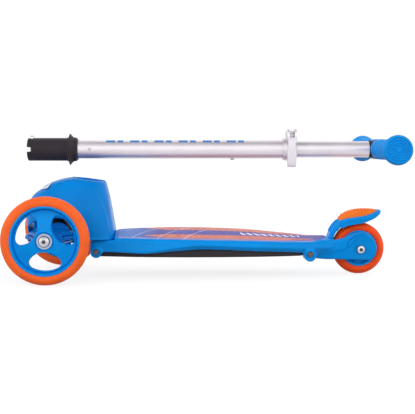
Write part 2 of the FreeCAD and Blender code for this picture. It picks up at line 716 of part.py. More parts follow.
def rounded_level(body, name, level, inset, lift=0):
    """A rounded rectangle at one height of the cover."""
    height, front, rear, half, corner = level
    front += inset
    rear -= inset
    half -= inset
    corner -= inset
    sketch = new_sketch(body, name, "XY_Plane", f"{height} + {lift}")
    left = SIZES["front_axle_x"] + front
    right = SIZES["front_axle_x"] + rear
    vector = FreeCAD.Vector
    slant = corner * 0.5 ** 0.5
    arcs = []
    for cx, cy, sx, sy in ((right - corner, half - corner, 1, 1), (left + corner, half - corner, -1, 1),
                           (left + corner, corner - half, -1, -1), (right - corner, corner - half, 1, -1)):
        first = vector(cx + (corner if sx * sy > 0 else 0) * sx, cy + (0 if sx * sy > 0 else corner) * sy, 0)
        last = vector(cx + (0 if sx * sy > 0 else corner) * sx, cy + (corner if sx * sy > 0 else 0) * sy, 0)
        arcs.append((first, vector(cx + slant * sx, cy + slant * sy, 0), last))
    for index, (first, middle, last) in enumerate(arcs):
        sketch.addGeometry(Part.Arc(first, middle, last))
        sketch.addGeometry(Part.LineSegment(last, arcs[(index + 1) % 4][0]))
    return sketch


def front_cover():
    """A thin-walled hood over the truck, with a mouth for the column."""
    body = new("PartDesign::Body", "cover_body")
    loft(body, "AdditiveLoft", "cover_outer",
         [rounded_level(body, f"cover_out_{index}", level, 0) for index, level in enumerate(COVER_LEVELS)])
    inner = [(57, *COVER_LEVELS[0][1:])] + list(COVER_LEVELS[1:-1])
    loft(body, "SubtractiveLoft", "cover_inner",
         [rounded_level(body, f"cover_in_{index}", level, COVER_WALL) for index, level in enumerate(inner)])
    tilted = (("mouth_x", 0, "mouth_z"), (0, 1, 0), SIZES["tilt"])
    mouth = turned("cover_mouth", [(0, -8), (23.2, -8), (23.2, -4.2), (25.2, -4.2), (25.2, 2), (0, 2)], *tilted)
    top = turned("cover_top", [(0, 0), (90, 0), (90, 30), (0, 30)], *tilted)
    rooms = [box("cover_room_left", (-60, -80, 40), (53, -24, 87)),
             box("cover_room_right", (-60, 24, 40), (53, 80, 87))]
    node(cut("front_cover", body, mouth, top, *rooms, deck_solid), "front_cover")


front_cover()


def steering_socket():
    """The tube that takes the column's plug, on a pedestal, with two key ribs in its floor."""
    tilted = ((0, 1, 0), SIZES["tilt"])
    mouth = ("mouth_x", 0, "mouth_z")
    tube = turned("socket_tube", [
        (0, "-socket_depth - 3"), (22.9, "-socket_depth - 3"), (22.9, -4), (25, -1.5), (25, 0), (0, 0)],
        mouth, *tilted)
    foot = box("socket_foot", (32, -14, 60), (62, 14, 82))
    bore = turned("socket_bore_tool", [
        (0, "-socket_depth"), ("socket_bore", "-socket_depth"), ("socket_bore", -4), (21, -1), (21, 1), (0, 1)],
        mouth, *tilted)
    window = turned("socket_window", [(0, 0), (5, 0), (5, 40), (0, 40)],
                    ("mouth_x - 56 * sin(tilt)", 0, "mouth_z - 56 * cos(tilt)"), (0, 1, 0), SIZES["tilt"] - 90)
    bar = plate("socket_key_bar", "XZ_Plane", [
        (-3, "-socket_depth"), (3, "-socket_depth"), (3, "-socket_depth + 5"), (-3, "-socket_depth + 5")],
        "2 * socket_bore", mouth, *tilted)
    spring_gap = turned("socket_spring_gap", [
        (0, "-socket_depth"), (6.5, "-socket_depth"), (6.5, "-socket_depth + 6"), (0, "-socket_depth + 6")],
        mouth, *tilted)
    keys = cut("socket_keys", bar, spring_gap)
    hollow = cut("socket_hollow", fuse("socket_solid", tube, foot), bore, window)
    node(fuse("steering_socket", hollow, keys), "steering_socket")


steering_socket()


# ---------------------------------------------------------------- column: lower part

ALONG_X = ((0, 1, 0), 90)
COLUMN = (0, 0, "column_z")
PLUG_BACK = "plug_tip + plug_length"


def outer_tube():
    """The silver tube, drilled for the plug's rivet and the guide pin."""
    blank = turned("outer_blank", ring("tube_radius - tube_wall", "tube_radius", f"{PLUG_BACK} + 14", "tube_end"),
                   COLUMN, *ALONG_X)
    guide_hole = rod("guide_hole", 3, 12, ("guide_x", 0, "column_z - tube_radius - 6"))
    rivet_hole = cross_rod("tube_rivet_hole", 2.5, -20, 20, f"{PLUG_BACK} + 32", "column_z")
    node(cut("outer_tube", blank, guide_hole, rivet_hole), "outer_tube")


outer_tube()


def stem_plug():
    """The black plug that goes into the socket, with its flared collar and a spigot in the tube."""
    solid = turned("plug_solid", [
        (12, "plug_tip"), ("plug_radius - 3", "plug_tip"), ("plug_radius", "plug_tip + 3"),
        ("plug_radius", PLUG_BACK), ("collar_radius", f"{PLUG_BACK} + 0.5"),
        ("collar_radius", f"{PLUG_BACK} + 3"), ("tube_radius + 4", f"{PLUG_BACK} + 8"),
        ("tube_radius + 0.8", f"{PLUG_BACK} + 14"), ("tube_radius - tube_wall", f"{PLUG_BACK} + 14"),
        ("tube_radius - tube_wall", f"{PLUG_BACK} + 50"), (7, f"{PLUG_BACK} + 50"), (7, f"{PLUG_BACK} - 8"),
        (12, f"{PLUG_BACK} - 8")], COLUMN, *ALONG_X)
    notch = box("plug_notch", ("plug_tip - 1", -20, "column_z - 3.3"), ("plug_tip + 6", 20, "column_z + 3.3"))
    button_hole = rod("plug_button_hole", 4.1, 30, ("button_x", 0, "column_z"))
    rivet_hole = cross_rod("plug_rivet_hole", 2.5, -20, 20, f"{PLUG_BACK} + 32", "column_z")
    node(cut("stem_plug", solid, notch, button_hole, rivet_hole), "stem_plug")


stem_plug()

node(cross_rod("stem_rivet", 2.5, "-tube_radius - 0.8", "tube_radius + 0.8", f"{PLUG_BACK} + 32", "column_z"),
     "stem_rivet")

node(turned("guide_pin", [
    (0, "-tube_radius - 2.4"), (2.4, "-tube_radius - 2.4"), (3, "-tube_radius - 1.4"),
    (3, "-inner_radius + inner_wall + 0.5"), (0, "-inner_radius + inner_wall + 0.5")],
    ("guide_x", 0, "column_z")), "guide_pin")

node(turned("stem_button", [
    (0, 7), (5.6, 7), (5.6, 9), (4, 9), (4, 19.4), (2.6, 20.8), (0, 21.2)],
    ("button_x", 0, "column_z")), "stem_button")


node(coil("button_spring", 3.6, 0.4, 3, 16.8, -10.6, ("button_x", 0, "column_z")), "button_spring")


def clamp_collar():
    """A split ring with two ears over the tube."""
    ring_body = turned("collar_ring", [
        ("tube_radius", "clamp_x - clamp_half - 5"), (17, "clamp_x - clamp_half - 5"),
        (17.5, "clamp_x - clamp_half"), (17.5, "clamp_x + clamp_half"), ("tube_radius", "clamp_x + clamp_half")],
        COLUMN, *ALONG_X)
    low = "column_z + 12"
    ears = [box(f"collar_ear_{side + 1}", (f"clamp_x - clamp_half + {trim}", start, low),
                (f"clamp_x + clamp_half - {trim}", end, "lever_z + 7"))
            for side, start, end, trim in ((-1, -7, -1.2, 0), (1, 1.2, 7, 0))]
    bore = rod("collar_bore", "tube_radius", 40, ("clamp_x - 20", 0, "column_z"), *ALONG_X)
    split = box("collar_split", ("clamp_x - 20", -1.2, "column_z + 5"), ("clamp_x + 20", 1.2, "column_z + 40"))
    bolt_hole = cross_rod("collar_bolt_hole", 3, -20, 20, "clamp_x", "lever_z")
    node(cut("clamp_collar", fuse("collar_solid", ring_body, *ears), bore, split, bolt_hole), "clamp_collar")


clamp_collar()

node(turned("clamp_bolt", [(0, "lever_y - 2.5"), (3, "lever_y - 2.5"), (3, 7), (5, 7), (5, 11), (0, 11)],
            ("clamp_x", 0, "lever_z"), (1, 0, 0), -90), "clamp_bolt")
barrel = rod("barrel_solid", 4, 15, ("clamp_x - 7.5", "lever_y", "lever_z"), *ALONG_X)
barrel_hole = cross_rod("barrel_hole", 3, -40, 0, "clamp_x", "lever_z")
node(cut("barrel_nut", barrel, barrel_hole), "barrel_nut")


def clamp_lever():
    """A forked cam lever that lies round the near side of the tube when closed."""
    cam = rod("lever_cam", 10, 15, ("clamp_x - 7.5", "lever_y", "lever_z"), *ALONG_X)
    blade = plate("lever_blade", "YZ_Plane", [
        (-27, 214), (-27.5, 205), (-26, 190), (-24, 178), (-20, 168), (-16.5, 165.8), (-15, 168),
        (-17.5, 176), (-20.5, 184), (-21.5, 194), (-20, 205), (-17, 209)], 15, ("clamp_x", 0, 0))
    shaft = rod("lever_bore", 4.05, 40, ("clamp_x - 20", "lever_y", "lever_z"), *ALONG_X)
    fork = fuse("lever_fork",
                cross_rod("lever_fork_round", 3.6, "lever_y - 4", 0, "clamp_x", "lever_z"),
                box("lever_fork_sweep", ("clamp_x - 3.6", "lever_y - 12", "lever_z - 3.2"),
                    ("clamp_x + 3.6", 0, "lever_z + 20")),
                box("lever_fork_under", ("clamp_x - 3.6", "lever_y", "lever_z - 12"),
                    ("clamp_x + 3.6", 0, "lever_z + 1")))
    flat = box("lever_flat", ("clamp_x - 12", -7.3, 160), ("clamp_x + 12", 2, 240))
    node(cut("clamp_lever", fuse("lever_solid", cam, blade), shaft, fork, flat), "clamp_lever")


clamp_lever()


# ---------------------------------------------------------------- column: upper part

inner_blank = turned("inner_blank", ring("inner_radius - inner_wall", "inner_radius", "inner_start", "bar_x - 14"),
                     COLUMN, *ALONG_X)
slot = box("inner_slot", ("slot_start", -3.3, "column_z - 20"), ("guide_x + 4.5", 3.3, "column_z"))
slot_end = rod("inner_slot_end", 3.3, 20, ("guide_x + 4.5", 0, "column_z - 20"))
node(cut("inner_tube_cut", inner_blank, slot, slot_end), "inner_tube")

node(turned("guide_bush", [
    ("inner_radius - inner_wall - 2", "inner_start - 3"), ("inner_radius + 0.15", "inner_start - 3"),
    ("inner_radius + 0.15", "inner_start"), ("inner_radius - inner_wall", "inner_start"),
    ("inner_radius - inner_wall", "inner_start + 12"), ("inner_radius - inner_wall - 2", "inner_start + 12")],
    COLUMN, *ALONG_X), "guide_bush")


def t_joint():
    """The black T that joins the inner tube to the crossbar."""
    cross = cross_rod("t_cross", 15.5, -21, 21, "bar_x", "column_z")
    stub = rod("t_stub", 14, 14, ("bar_x - 17.5", 0, "column_z"), *ALONG_X)
    bar_bore = cross_rod("t_bar_bore", 11, -30, 30, "bar_x", "column_z")
    tube_bore = rod("t_tube_bore", "inner_radius", 30, ("bar_x - 44", 0, "column_z"), *ALONG_X)
    bolt_hole = rod("t_bolt_hole", 2.5, 40, ("bar_x - 11", 0, "column_z"), *ALONG_X)
    node(cut("t_joint", fuse("t_solid", cross, stub), bar_bore, tube_bore, bolt_hole), "t_joint")


t_joint()

bar_blank = turned("bar_blank", ring(9.5, 11, "-half_bar + 6", "half_bar - 6"),
                   ("bar_x", 0, "column_z"), (1, 0, 0), -90)
bar_hole = rod("bar_hole", 2.5, 40, ("bar_x - 20", 0, "column_z"), *ALONG_X)
node(cut("crossbar_drilled", bar_blank, bar_hole), "crossbar")
node(turned("t_joint_bolt", [(0, -11), (2.5, -11), (2.5, 15.5), (4.5, 15.5), (4.5, 17.5), (3.4, 18.5), (0, 18.5)],
            ("bar_x", 0, "column_z"), *ALONG_X), "t_joint_bolt")


def grip(name, turn):
    """A soft grip: a round collar, ridges along the hand, and a wide rounded end."""
    inner_end = 21
    ridges = []
    for index in range(9):
        start = inner_end + 8 + index * 10
        ridges += [(15.3, start), (15.3, start + 6), (14.6, start + 7), (14.6, start + 9)]
    profile = [(11, inner_end), (13.6, inner_end), (15.5, inner_end + 2), (15.5, inner_end + 6)]
    profile += ridges
    profile += [(16.5, 124), (19.5, 132), (21.3, 137), (21.6, 140), (20.2, 143.3), (16, "half_bar"),
                (0, "half_bar"), (0, "half_bar - 6"), (11, "half_bar - 6")]
    return node(turned(name, profile, ("bar_x", 0, "column_z"), (1, 0, 0), turn), name)


grip("left_grip", 90)
grip("right_grip", -90)


# ---------------------------------------------------------------- check and write

doc.recompute()
faults = [item.Name for item in doc.Objects if {"Invalid", "Error"} & set(item.State)]
for item in nodes:
    if item.Shape.isNull() or not item.Shape.isValid() or not item.Shape.Solids:
        faults.append("shape of " + item.Label)
if faults:
    print("failed:", ", ".join(faults))
    sys.exit(1)

os.makedirs("parts", exist_ok=True)
for item in nodes:
    item.Shape.exportStep(f"parts/{item.Label}.step")
whole = FreeCAD.BoundBox()
for item in nodes:
    whole.add(item.Shape.BoundBox)
    print(f"{item.Label}: {len(item.Shape.Solids)} solids, {item.Shape.Volume / 1000:.2f} cm3")
print(f"{len(nodes)} nodes; box {whole}")
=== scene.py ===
import math
from itertools import product

import bpy
import numpy as np
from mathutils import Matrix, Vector


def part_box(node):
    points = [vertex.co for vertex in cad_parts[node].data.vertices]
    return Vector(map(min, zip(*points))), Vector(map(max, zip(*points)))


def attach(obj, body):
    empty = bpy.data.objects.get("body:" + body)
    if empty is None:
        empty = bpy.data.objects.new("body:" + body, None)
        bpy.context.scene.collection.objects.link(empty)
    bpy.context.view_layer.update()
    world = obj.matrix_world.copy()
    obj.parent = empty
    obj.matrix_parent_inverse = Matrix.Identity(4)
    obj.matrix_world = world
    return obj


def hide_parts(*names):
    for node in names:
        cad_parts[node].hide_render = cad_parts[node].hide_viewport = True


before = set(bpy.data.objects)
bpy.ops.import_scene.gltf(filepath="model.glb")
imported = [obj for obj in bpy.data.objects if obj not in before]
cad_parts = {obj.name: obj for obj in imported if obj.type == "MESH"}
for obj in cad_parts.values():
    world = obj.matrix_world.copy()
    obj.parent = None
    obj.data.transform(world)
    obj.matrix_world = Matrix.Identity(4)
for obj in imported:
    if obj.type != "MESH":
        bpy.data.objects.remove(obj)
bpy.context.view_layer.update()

# Lengths are millimetres from the front axle (x), the middle (y) and the ground (z).
MM = 0.001


def middle(node):
    low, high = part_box(node)
    return (low + high) / 2


AXLE = middle("left_front_tyre")
AXLE_X = AXLE.x


def along(x):
    """A place along the frame's x axis, measured in millimetres from the front axle."""
    return (x - AXLE_X) / MM


TRACK = (middle("right_front_tyre").y - AXLE.y) / 2 / MM
FRONT_Z = AXLE.z / MM
REAR_X = along(middle("rear_tyre").x)
REAR_Z = middle("rear_tyre").z / MM
COLUMN_Z = middle("inner_tube").z / MM
BAR_X = along(middle("crossbar").x)
HALF_BAR = -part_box("left_grip")[0].y / MM
PLUG_TIP = along(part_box("stem_plug")[0].x)
PLUG_BACK = along(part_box("stem_plug")[1].x) - 50
BUTTON_X = along(middle("stem_button").x)
CLAMP_X = along(middle("clamp_lever").x)
LEVER_Y = middle("barrel_nut").y / MM
LEVER_Z = middle("barrel_nut").z / MM
BEARING_SEAT, BEARING_HALF, HUB_BORE = 11.02, 3, 9


# ---------------------------------------------------------------- meshes

def build(name, vertices, faces, material, body, slot=None, replaces=(), sharp=40):
    """A mesh from points in millimetres, riding on a body."""
    mesh = bpy.data.meshes.new(name)
    points = np.asarray(vertices, float) * MM
    points[:, 0] += AXLE_X
    mesh.from_pydata(points.tolist(), [], [tuple(int(i) for i in face) for face in faces])
    mesh.validate()
    mesh.polygons.foreach_set("use_smooth", [True] * len(mesh.polygons))
    if sharp:
        mesh.set_sharp_from_angle(angle=math.radians(sharp))
    mesh.update()
    piece = bpy.data.objects.new(name, mesh)
    bpy.context.scene.collection.objects.link(piece)
    mesh.materials.append(material)
    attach(piece, body)
    if replaces:
        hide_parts(*replaces)
    return piece


def cell_corner(field, i, j, k, shift):
    return field[i + shift[0], j + shift[1], k + shift[2]]


def surface(field, low, high, step):
    """Vertices and quads of a field's zero surface: one vertex per crossed cell, moved onto the surface."""
    axes = [np.arange(start, end + step, step) for start, end in zip(low, high)]
    grid = np.meshgrid(*axes, indexing="ij", sparse=True)
    values = np.broadcast_to(field(*grid), [len(axis) for axis in axes]).astype(np.float32)
    inside = values < 0
    shape = [len(axis) - 1 for axis in axes]
    count = np.zeros(shape, np.uint8)
    for a, b, c in product((0, 1), repeat=3):
        count += inside[a:a + shape[0], b:b + shape[1], c:c + shape[2]]
    mixed = (count > 0) & (count < 8)
    i, j, k = np.nonzero(mixed)
    number = np.full(shape, -1, np.int64)
    number[i, j, k] = np.arange(len(i))
    total = np.zeros((len(i), 3))
    crossings = np.zeros(len(i))
    for axis in range(3):
        others = [n for n in range(3) if n != axis]
        for a, b in product((0, 1), repeat=2):
            start = [0, 0, 0]
            start[others[0]], start[others[1]] = a, b
            end = list(start)
            end[axis] = 1
            first = cell_corner(values, i, j, k, start)
            last = cell_corner(values, i, j, k, end)
            crossed = (first < 0) != (last < 0)
            share = np.where(crossed, first / np.where(crossed, first - last, 1), 0)
            spot = np.tile(np.array(start, float), (len(i), 1))
            spot[:, axis] += share
            total += spot * crossed[:, None]
            crossings += crossed
    points = (np.stack([i, j, k], 1) + total / crossings[:, None]) * step + np.array(low)
    quads = []
    for axis in range(3):
        first = [slice(1, -1)] * 3
        first[axis] = slice(0, -1)
        last = [slice(1, -1)] * 3
        last[axis] = slice(1, None)
        start, end = inside[tuple(first)], inside[tuple(last)]
        cells = np.array(np.nonzero(start != end))
        outward = start[tuple(cells)]
        cells = cells.T + 1
        cells[:, axis] -= 1
        u, v = [n for n in range(3) if n != axis]
        around = []
        for a, b in ((-1, -1), (0, -1), (0, 0), (-1, 0)):
            near = cells.copy()
            near[:, u] += a
            near[:, v] += b
            around.append(number[tuple(near.T)])
        quad = np.stack(around, 1)
        flip = outward if axis == 1 else ~outward
        quad[flip] = quad[flip][:, ::-1]
        quads.append(quad)
    quads = np.concatenate(quads)
    return polish(field, points, step), quads


def polish(field, points, step):
    """Points moved along the field's slope until they lie on the surface."""
    reach = 0.3 * step
    for _ in range(2):
        slope = np.stack([
            field(*(points + reach * side).T) - field(*(points - reach * side).T)
            for side in np.eye(3)], 1) / (2 * reach)
        value = field(*points.T)
        size = np.maximum((slope ** 2).sum(1), 1e-3)
        move = slope * (value / size)[:, None]
        length = np.linalg.norm(move, axis=1)
        move *= np.minimum(1, 0.5 * step / np.maximum(length, 1e-9))[:, None]
        points = points - move
    return points


def moulded(name, field, low, high, step, material, body, **words):
    """A piece bounded by the zero surface of a field, between two corners."""
    points, quads = surface(field, low, high, step)
    return build(name, points, quads, material, body, sharp=0, **words)


def join(a, b, blend):
    """Two fields as one, with a rounded inner corner."""
    near = np.maximum(blend - np.abs(a - b), 0) / blend
    return np.minimum(a, b) - near * near * blend / 4


def common(a, b, blend):
    """What two fields share, with a rounded outer corner."""
    return -join(-a, -b, blend)


def carve(a, b, blend):
    """The first field with the second taken away."""
    return common(a, -b, blend)


def ramp_up(share):
    """A smooth step from 0 to 1."""
    share = np.clip(share, 0, 1)
    return share * share * (3 - 2 * share)


def curve(*points):
    """A smooth function through (place, value) pairs, without overshoot."""
    places, values = (np.array(column, float) for column in zip(*points))
    steps = np.diff(places)
    slopes = np.diff(values) / steps
    tangents = np.zeros(len(places))
    tangents[0], tangents[-1] = slopes[0], slopes[-1]
    for n in range(1, len(places) - 1):
        if slopes[n - 1] * slopes[n] > 0:
            first, last = 2 * steps[n] + steps[n - 1], steps[n] + 2 * steps[n - 1]
            tangents[n] = (first + last) / (first / slopes[n - 1] + last / slopes[n])
    fine = np.linspace(places[0], places[-1], 800)
    n = np.clip(np.searchsorted(places, fine) - 1, 0, len(steps) - 1)
    t = (fine - places[n]) / steps[n]
    table = ((1 + 2 * t) * (1 - t) ** 2 * values[n] + t * (1 - t) ** 2 * steps[n] * tangents[n]
             + t * t * (3 - 2 * t) * values[n + 1] + t * t * (t - 1) * steps[n] * tangents[n + 1])
    return lambda place: np.interp(place, fine, table)


def smooth_loop(points, pieces=5):
    """A closed outline through points, with rounded runs between them."""
    points = np.array(points, float)
    made = []
    count = len(points)
    for n in range(count):
        a, b, c, d = (points[(n + m) % count] for m in (-1, 0, 1, 2))
        for t in np.arange(pieces) / pieces:
            made.append(0.5 * (2 * b + (c - a) * t + (2 * a - 5 * b + 4 * c - d) * t * t
                               + (3 * b - a - 3 * c + d) * t ** 3))
    return np.array(made)


def outline_field(outline, u, v):
    """Signed distance to a closed outline in a plane."""
    u, v = np.broadcast_arrays(u, v)
    best = np.full(u.shape, 1e9)
    inside = np.zeros(u.shape, bool)
    for (au, av), (bu, bv) in zip(outline, np.roll(outline, -1, axis=0)):
        du, dv = bu - au, bv - av
        t = np.clip(((u - au) * du + (v - av) * dv) / (du * du + dv * dv + 1e-12), 0, 1)
        best = np.minimum(best, (u - au - t * du) ** 2 + (v - av - t * dv) ** 2)
        inside ^= ((av > v) != (bv > v)) & (u < du * (v - av) / (dv if dv else 1e-12) + au)
    return np.where(inside, -1, 1) * np.sqrt(best)


def rounded_profile(corners, steps=6):
    """A closed profile whose corners, given as (radius, height, rounding), become arcs."""
    made = []
    count = len(corners)
    for n in range(count):
        spot = np.array(corners[n][:2], float)
        before = np.array(corners[n - 1][:2], float) - spot
        after = np.array(corners[(n + 1) % count][:2], float) - spot
        rounding = corners[n][2]
        long_before, long_after = np.linalg.norm(before), np.linalg.norm(after)
        before, after = before / long_before, after / long_after
        cosine = np.clip(before @ after, -1, 1)
        half = math.acos(cosine) / 2
        if rounding <= 0 or half > 1.5:
            made.append(spot)
            continue
        back = min(rounding / math.tan(half), 0.49 * long_before, 0.49 * long_after)
        radius = back * math.tan(half)
        bisector = (before + after) / np.linalg.norm(before + after)
        centre = spot + bisector * radius / math.sin(half)
        start, end = spot + before * back - centre, spot + after * back - centre
        turn = math.atan2(start[0] * end[1] - start[1] * end[0], start @ end)
        for t in np.linspace(0, turn, steps):
            cos, sin = math.cos(t), math.sin(t)
            made.append(centre + (start[0] * cos - start[1] * sin, start[0] * sin + start[1] * cos))
    return np.array(made)


def turned(name, profile, centre, axis, material, body, segments, **words):
    """A closed profile of (radius, height) points turned about an axis through a centre."""
    axis = Vector(axis).normalized()
    side = axis.orthogonal().normalized()
    other = axis.cross(side)
    area = sum(a[0] * b[1] - b[0] * a[1] for a, b in zip(profile, np.roll(profile, -1, axis=0)))
    if area > 0:
        profile = profile[::-1]
    angles = np.arange(segments) * 2 * math.pi / segments
    radius, height = profile[:, 0], profile[:, 1]
    points = (np.array(centre)[None, None] + height[None, :, None] * np.array(axis)
              + radius[None, :, None] * (np.cos(angles)[:, None, None] * np.array(side)
                                         + np.sin(angles)[:, None, None] * np.array(other)))
    count = len(profile)
    ring, spot = np.meshgrid(np.arange(segments), np.arange(count), indexing="ij")
    following = (ring + 1) % segments
    after = (spot + 1) % count
    quads = np.stack([ring * count + spot, ring * count + after, following * count + after,
                      following * count + spot], -1).reshape(-1, 4)
    points = points.reshape(-1, 3)
    on_axis = np.tile(profile[:, 0] < 1e-6, segments)
    if on_axis.any():
        merged = np.arange(len(points))
        merged[on_axis] = merged[on_axis] % count
        quads = merged[quads]
        faces = []
        for quad in quads:
            kept = list(dict.fromkeys(quad.tolist()))
            if len(kept) > 2:
                faces.append(kept)
        used = sorted({i for face in faces for i in face})
        place = {old: new for new, old in enumerate(used)}
        points = points[used]
        quads = [[place[i] for i in face] for face in faces]
    return build(name, points, quads, material, body, **words)


# ---------------------------------------------------------------- materials

class Finish:
    """A node material built up step by step around one Principled shader."""

    def __init__(self, name, **sockets):
        self.material = bpy.data.materials.new(name)
        self.material.use_nodes = True
        self.tree = self.material.node_tree
        self.shader = self.tree.nodes["Principled BSDF"]
        for socket, value in sockets.items():
            self.shader.inputs[socket.replace("_", " ")].default_value = value
        self.place = self.add("ShaderNodeTexCoord").outputs["Object"]

    def add(self, kind, inputs=(), **properties):
        item = self.tree.nodes.new(kind)
        for name, value in properties.items():
            setattr(item, name, value)
        for socket, value in dict(inputs).items():
            self.feed(item.inputs[socket], value)
        return item

    def feed(self, socket, value):
        if isinstance(value, bpy.types.NodeSocket):
            self.tree.links.new(value, socket)
        else:
            socket.default_value = value

    def maths(self, operation, a, b=0.0, c=0.0):
        item = self.add("ShaderNodeMath", {0: a, 1: b, 2: c}, operation=operation)
        return item.outputs[0]

    def spread(self, scale):
        """The piece's own coordinates, stretched."""
        item = self.add("ShaderNodeVectorMath", {0: self.place, 1: scale}, operation="MULTIPLY")
        return item.outputs[0]

    def noise(self, scale, detail=2.0, roughness=0.5, place=None):
        item = self.add("ShaderNodeTexNoise", {"Vector": place or self.place, "Scale": scale,
                                               "Detail": detail, "Roughness": roughness})
        return item.outputs["Fac"]

    def remap(self, value, low, high, to_low, to_high):
        return self.add("ShaderNodeMapRange", {0: value, 1: low, 2: high, 3: to_low, 4: to_high}).outputs[0]

    def blend(self, share, a, b):
        item = self.add("ShaderNodeMix", {0: share}, data_type="RGBA")
        self.feed(item.inputs[6], colour(a) if isinstance(a, tuple) else a)
        self.feed(item.inputs[7], colour(b) if isinstance(b, tuple) else b)
        return item.outputs[2]

    def bump(self, height, strength, distance):
        before = self.shader.inputs["Normal"]
        inputs = {"Height": height, "Strength": strength, "Distance": distance}
        if before.is_linked:
            inputs["Normal"] = before.links[0].from_socket
        self.feed(before, self.add("ShaderNodeBump", inputs).outputs[0])

    def measured(self):
        """Three sockets in millimetres: from the front axle, from the middle, and up from the ground."""
        x, y, z = self.add("ShaderNodeSeparateXYZ", {0: self.place}).outputs
        return (self.maths("MULTIPLY", self.maths("SUBTRACT", x, AXLE_X), 1 / MM),
                self.maths("MULTIPLY", y, 1 / MM), self.maths("MULTIPLY", z, 1 / MM))

    def product(self, first, *others):
        for other in others:
            first = self.maths("MULTIPLY", first, other)
        return first

    def between(self, value, low, high):
        return self.product(self.maths("GREATER_THAN", value, low), self.maths("LESS_THAN", value, high))

    def away(self, value, place):
        """Distance of a value from a place."""
        return self.maths("ABSOLUTE", self.maths("SUBTRACT", value, place))

    def reach(self, a, b):
        return self.maths("SQRT", self.maths("ADD", self.product(a, a), self.product(b, b)))

    def set(self, socket, value):
        self.feed(self.shader.inputs[socket], value)

    def paint(self, share, rgb):
        """The colour so far, painted over where the share is one."""
        self.set("Base Color", self.blend(share, self.shader.inputs["Base Color"].links[0].from_socket, rgb))


def colour(rgb):
    """sRGB shares of 255 as a linear colour."""
    shares = [value / 255 for value in rgb]
    return (*[s / 12.92 if s <= 0.04045 else ((s + 0.055) / 1.055) ** 2.4 for s in shares], 1.0)


def shade(rgb, factor):
    return tuple(min(255, value * factor) for value in rgb)


def plastic(name, rgb, rough, grain=0.15, wear=0.5):
    """Moulded plastic: faint flow marks in the colour, an orange-peel skin and a few rubbed scratches."""
    made = Finish(name, Specular_IOR_Level=0.09, IOR=1.46)
    cloud = made.noise(22, 3)
    tint = made.blend(made.remap(cloud, 0.3, 0.7, 0, 1), shade(rgb, 0.955), shade(rgb, 1.03))
    lines = made.noise(1, 4, 0.7, made.spread((160, 900, 1400)))
    scratch = made.remap(lines, 0.70, 0.76, 0, 0.16 * wear)
    made.set("Base Color", made.blend(scratch, tint, shade(rgb, 1.35)))
    smear = made.noise(60, 4, 0.6)
    made.set("Roughness", made.maths("ADD", made.remap(smear, 0.3, 0.7, rough - 0.05, rough + 0.07), scratch))
    made.bump(made.noise(1500, 1), grain, 0.0002)
    made.bump(made.noise(90, 2), 0.10, 0.0004)
    return made


def soft_rubber(name, rgb, rough, grain):
    """Cast rubber or polyurethane: a satin skin with dust in its pores."""
    made = Finish(name, Specular_IOR_Level=0.12)
    cloud = made.noise(45, 4, 0.6)
    dust = made.remap(made.noise(700, 3, 0.7), 0.62, 0.78, 0, 0.22)
    tint = made.blend(made.remap(cloud, 0.3, 0.7, 0, 1), shade(rgb, 0.95), shade(rgb, 1.03))
    made.set("Base Color", made.blend(dust, tint, shade(rgb, 1.15)))
    made.set("Roughness", made.remap(made.noise(120, 4, 0.7), 0.3, 0.7, rough - 0.07, rough + 0.08))
    made.bump(made.noise(1100, 3, 0.6), grain, 0.00025)
    return made


def metal(name, rgb, rough, stretch=(8, 900, 900), strength=0.12, metallic=1.0):
    """Drawn or plated metal with a fine grain along one direction."""
    made = Finish(name, Metallic=metallic)
    grain = made.noise(1, 3, 0.6, made.spread(stretch))
    cloud = made.noise(35, 3, 0.6)
    made.set("Base Color", made.blend(made.remap(cloud, 0.3, 0.7, 0, 1), shade(rgb, 0.96), rgb))
    made.set("Roughness", made.maths("ADD", made.remap(cloud, 0.3, 0.7, rough - 0.05, rough + 0.05),
                                     made.remap(grain, 0.3, 0.7, -0.03, 0.05)))
    made.bump(grain, strength, 0.0001)
    return made


BLUE = (0, 143, 228)
ORANGE = (255, 104, 42)
TUBE_METALLIC = 0.7
blue_plastic = plastic("BluePlastic", BLUE, 0.30)
# Painted shade: a darker copy of the blue plastic for the truck and the steering socket, which sit in shadow
# under the cover
shaded_truck_plastic = plastic("ShadedTruckPlastic", (0, 116, 206), 0.34)
black_plastic = plastic("BlackPlastic", (54, 49, 54), 0.42, 0.5, 0.3)
black_paint = plastic("BlackPaint", (30, 32, 42), 0.4)
pan_plastic = plastic("PanPlastic", (58, 54, 58), 0.5, 0.6, 0.6)
tyre_front = soft_rubber("TyreFront", ORANGE, 0.42, 0.18)
tyre_rear = soft_rubber("TyreRear", (246, 78, 24), 0.42, 0.18)
grip_rubber = soft_rubber("GripRubber", (0, 144, 228), 0.5, 0.4)
pad_rubber = soft_rubber("PadRubber", (255, 124, 36), 0.5, 0.35)
black_rubber = soft_rubber("BlackRubber", (34, 32, 34), 0.6, 0.5)
aluminium = metal("Aluminium", (224, 217, 224), 0.40, metallic=TUBE_METALLIC)
tube_metal = metal("TubeMetal", (224, 217, 224), 0.40, metallic=TUBE_METALLIC)
cast_metal = metal("CastMetal", (230, 224, 232), 0.38, (700, 700, 700), 0.25, metallic=0.6)
zinc = metal("ZincSteel", (176, 176, 180), 0.34, (500, 500, 500), 0.2)
chrome = metal("BrightSteel", (222, 222, 224), 0.16, (300, 300, 300), 0.05)
dark_steel = metal("DarkSteel", (92, 90, 92), 0.4, (500, 500, 500), 0.2)
front_bolt_steel = metal("AxleBoltSteel", (196, 194, 198), 0.24, (300, 300, 300), 0.05)
rear_bolt_steel = metal("RearBoltSteel", (196, 194, 198), 0.24, (300, 300, 300), 0.05)


PRINT_START, PRINT_LENGTH, PRINT_PITCH = 79, 219, 37
PRINT_BARS = ((8, 7), (23, 4.5))
PRINT_RISE = 10.6


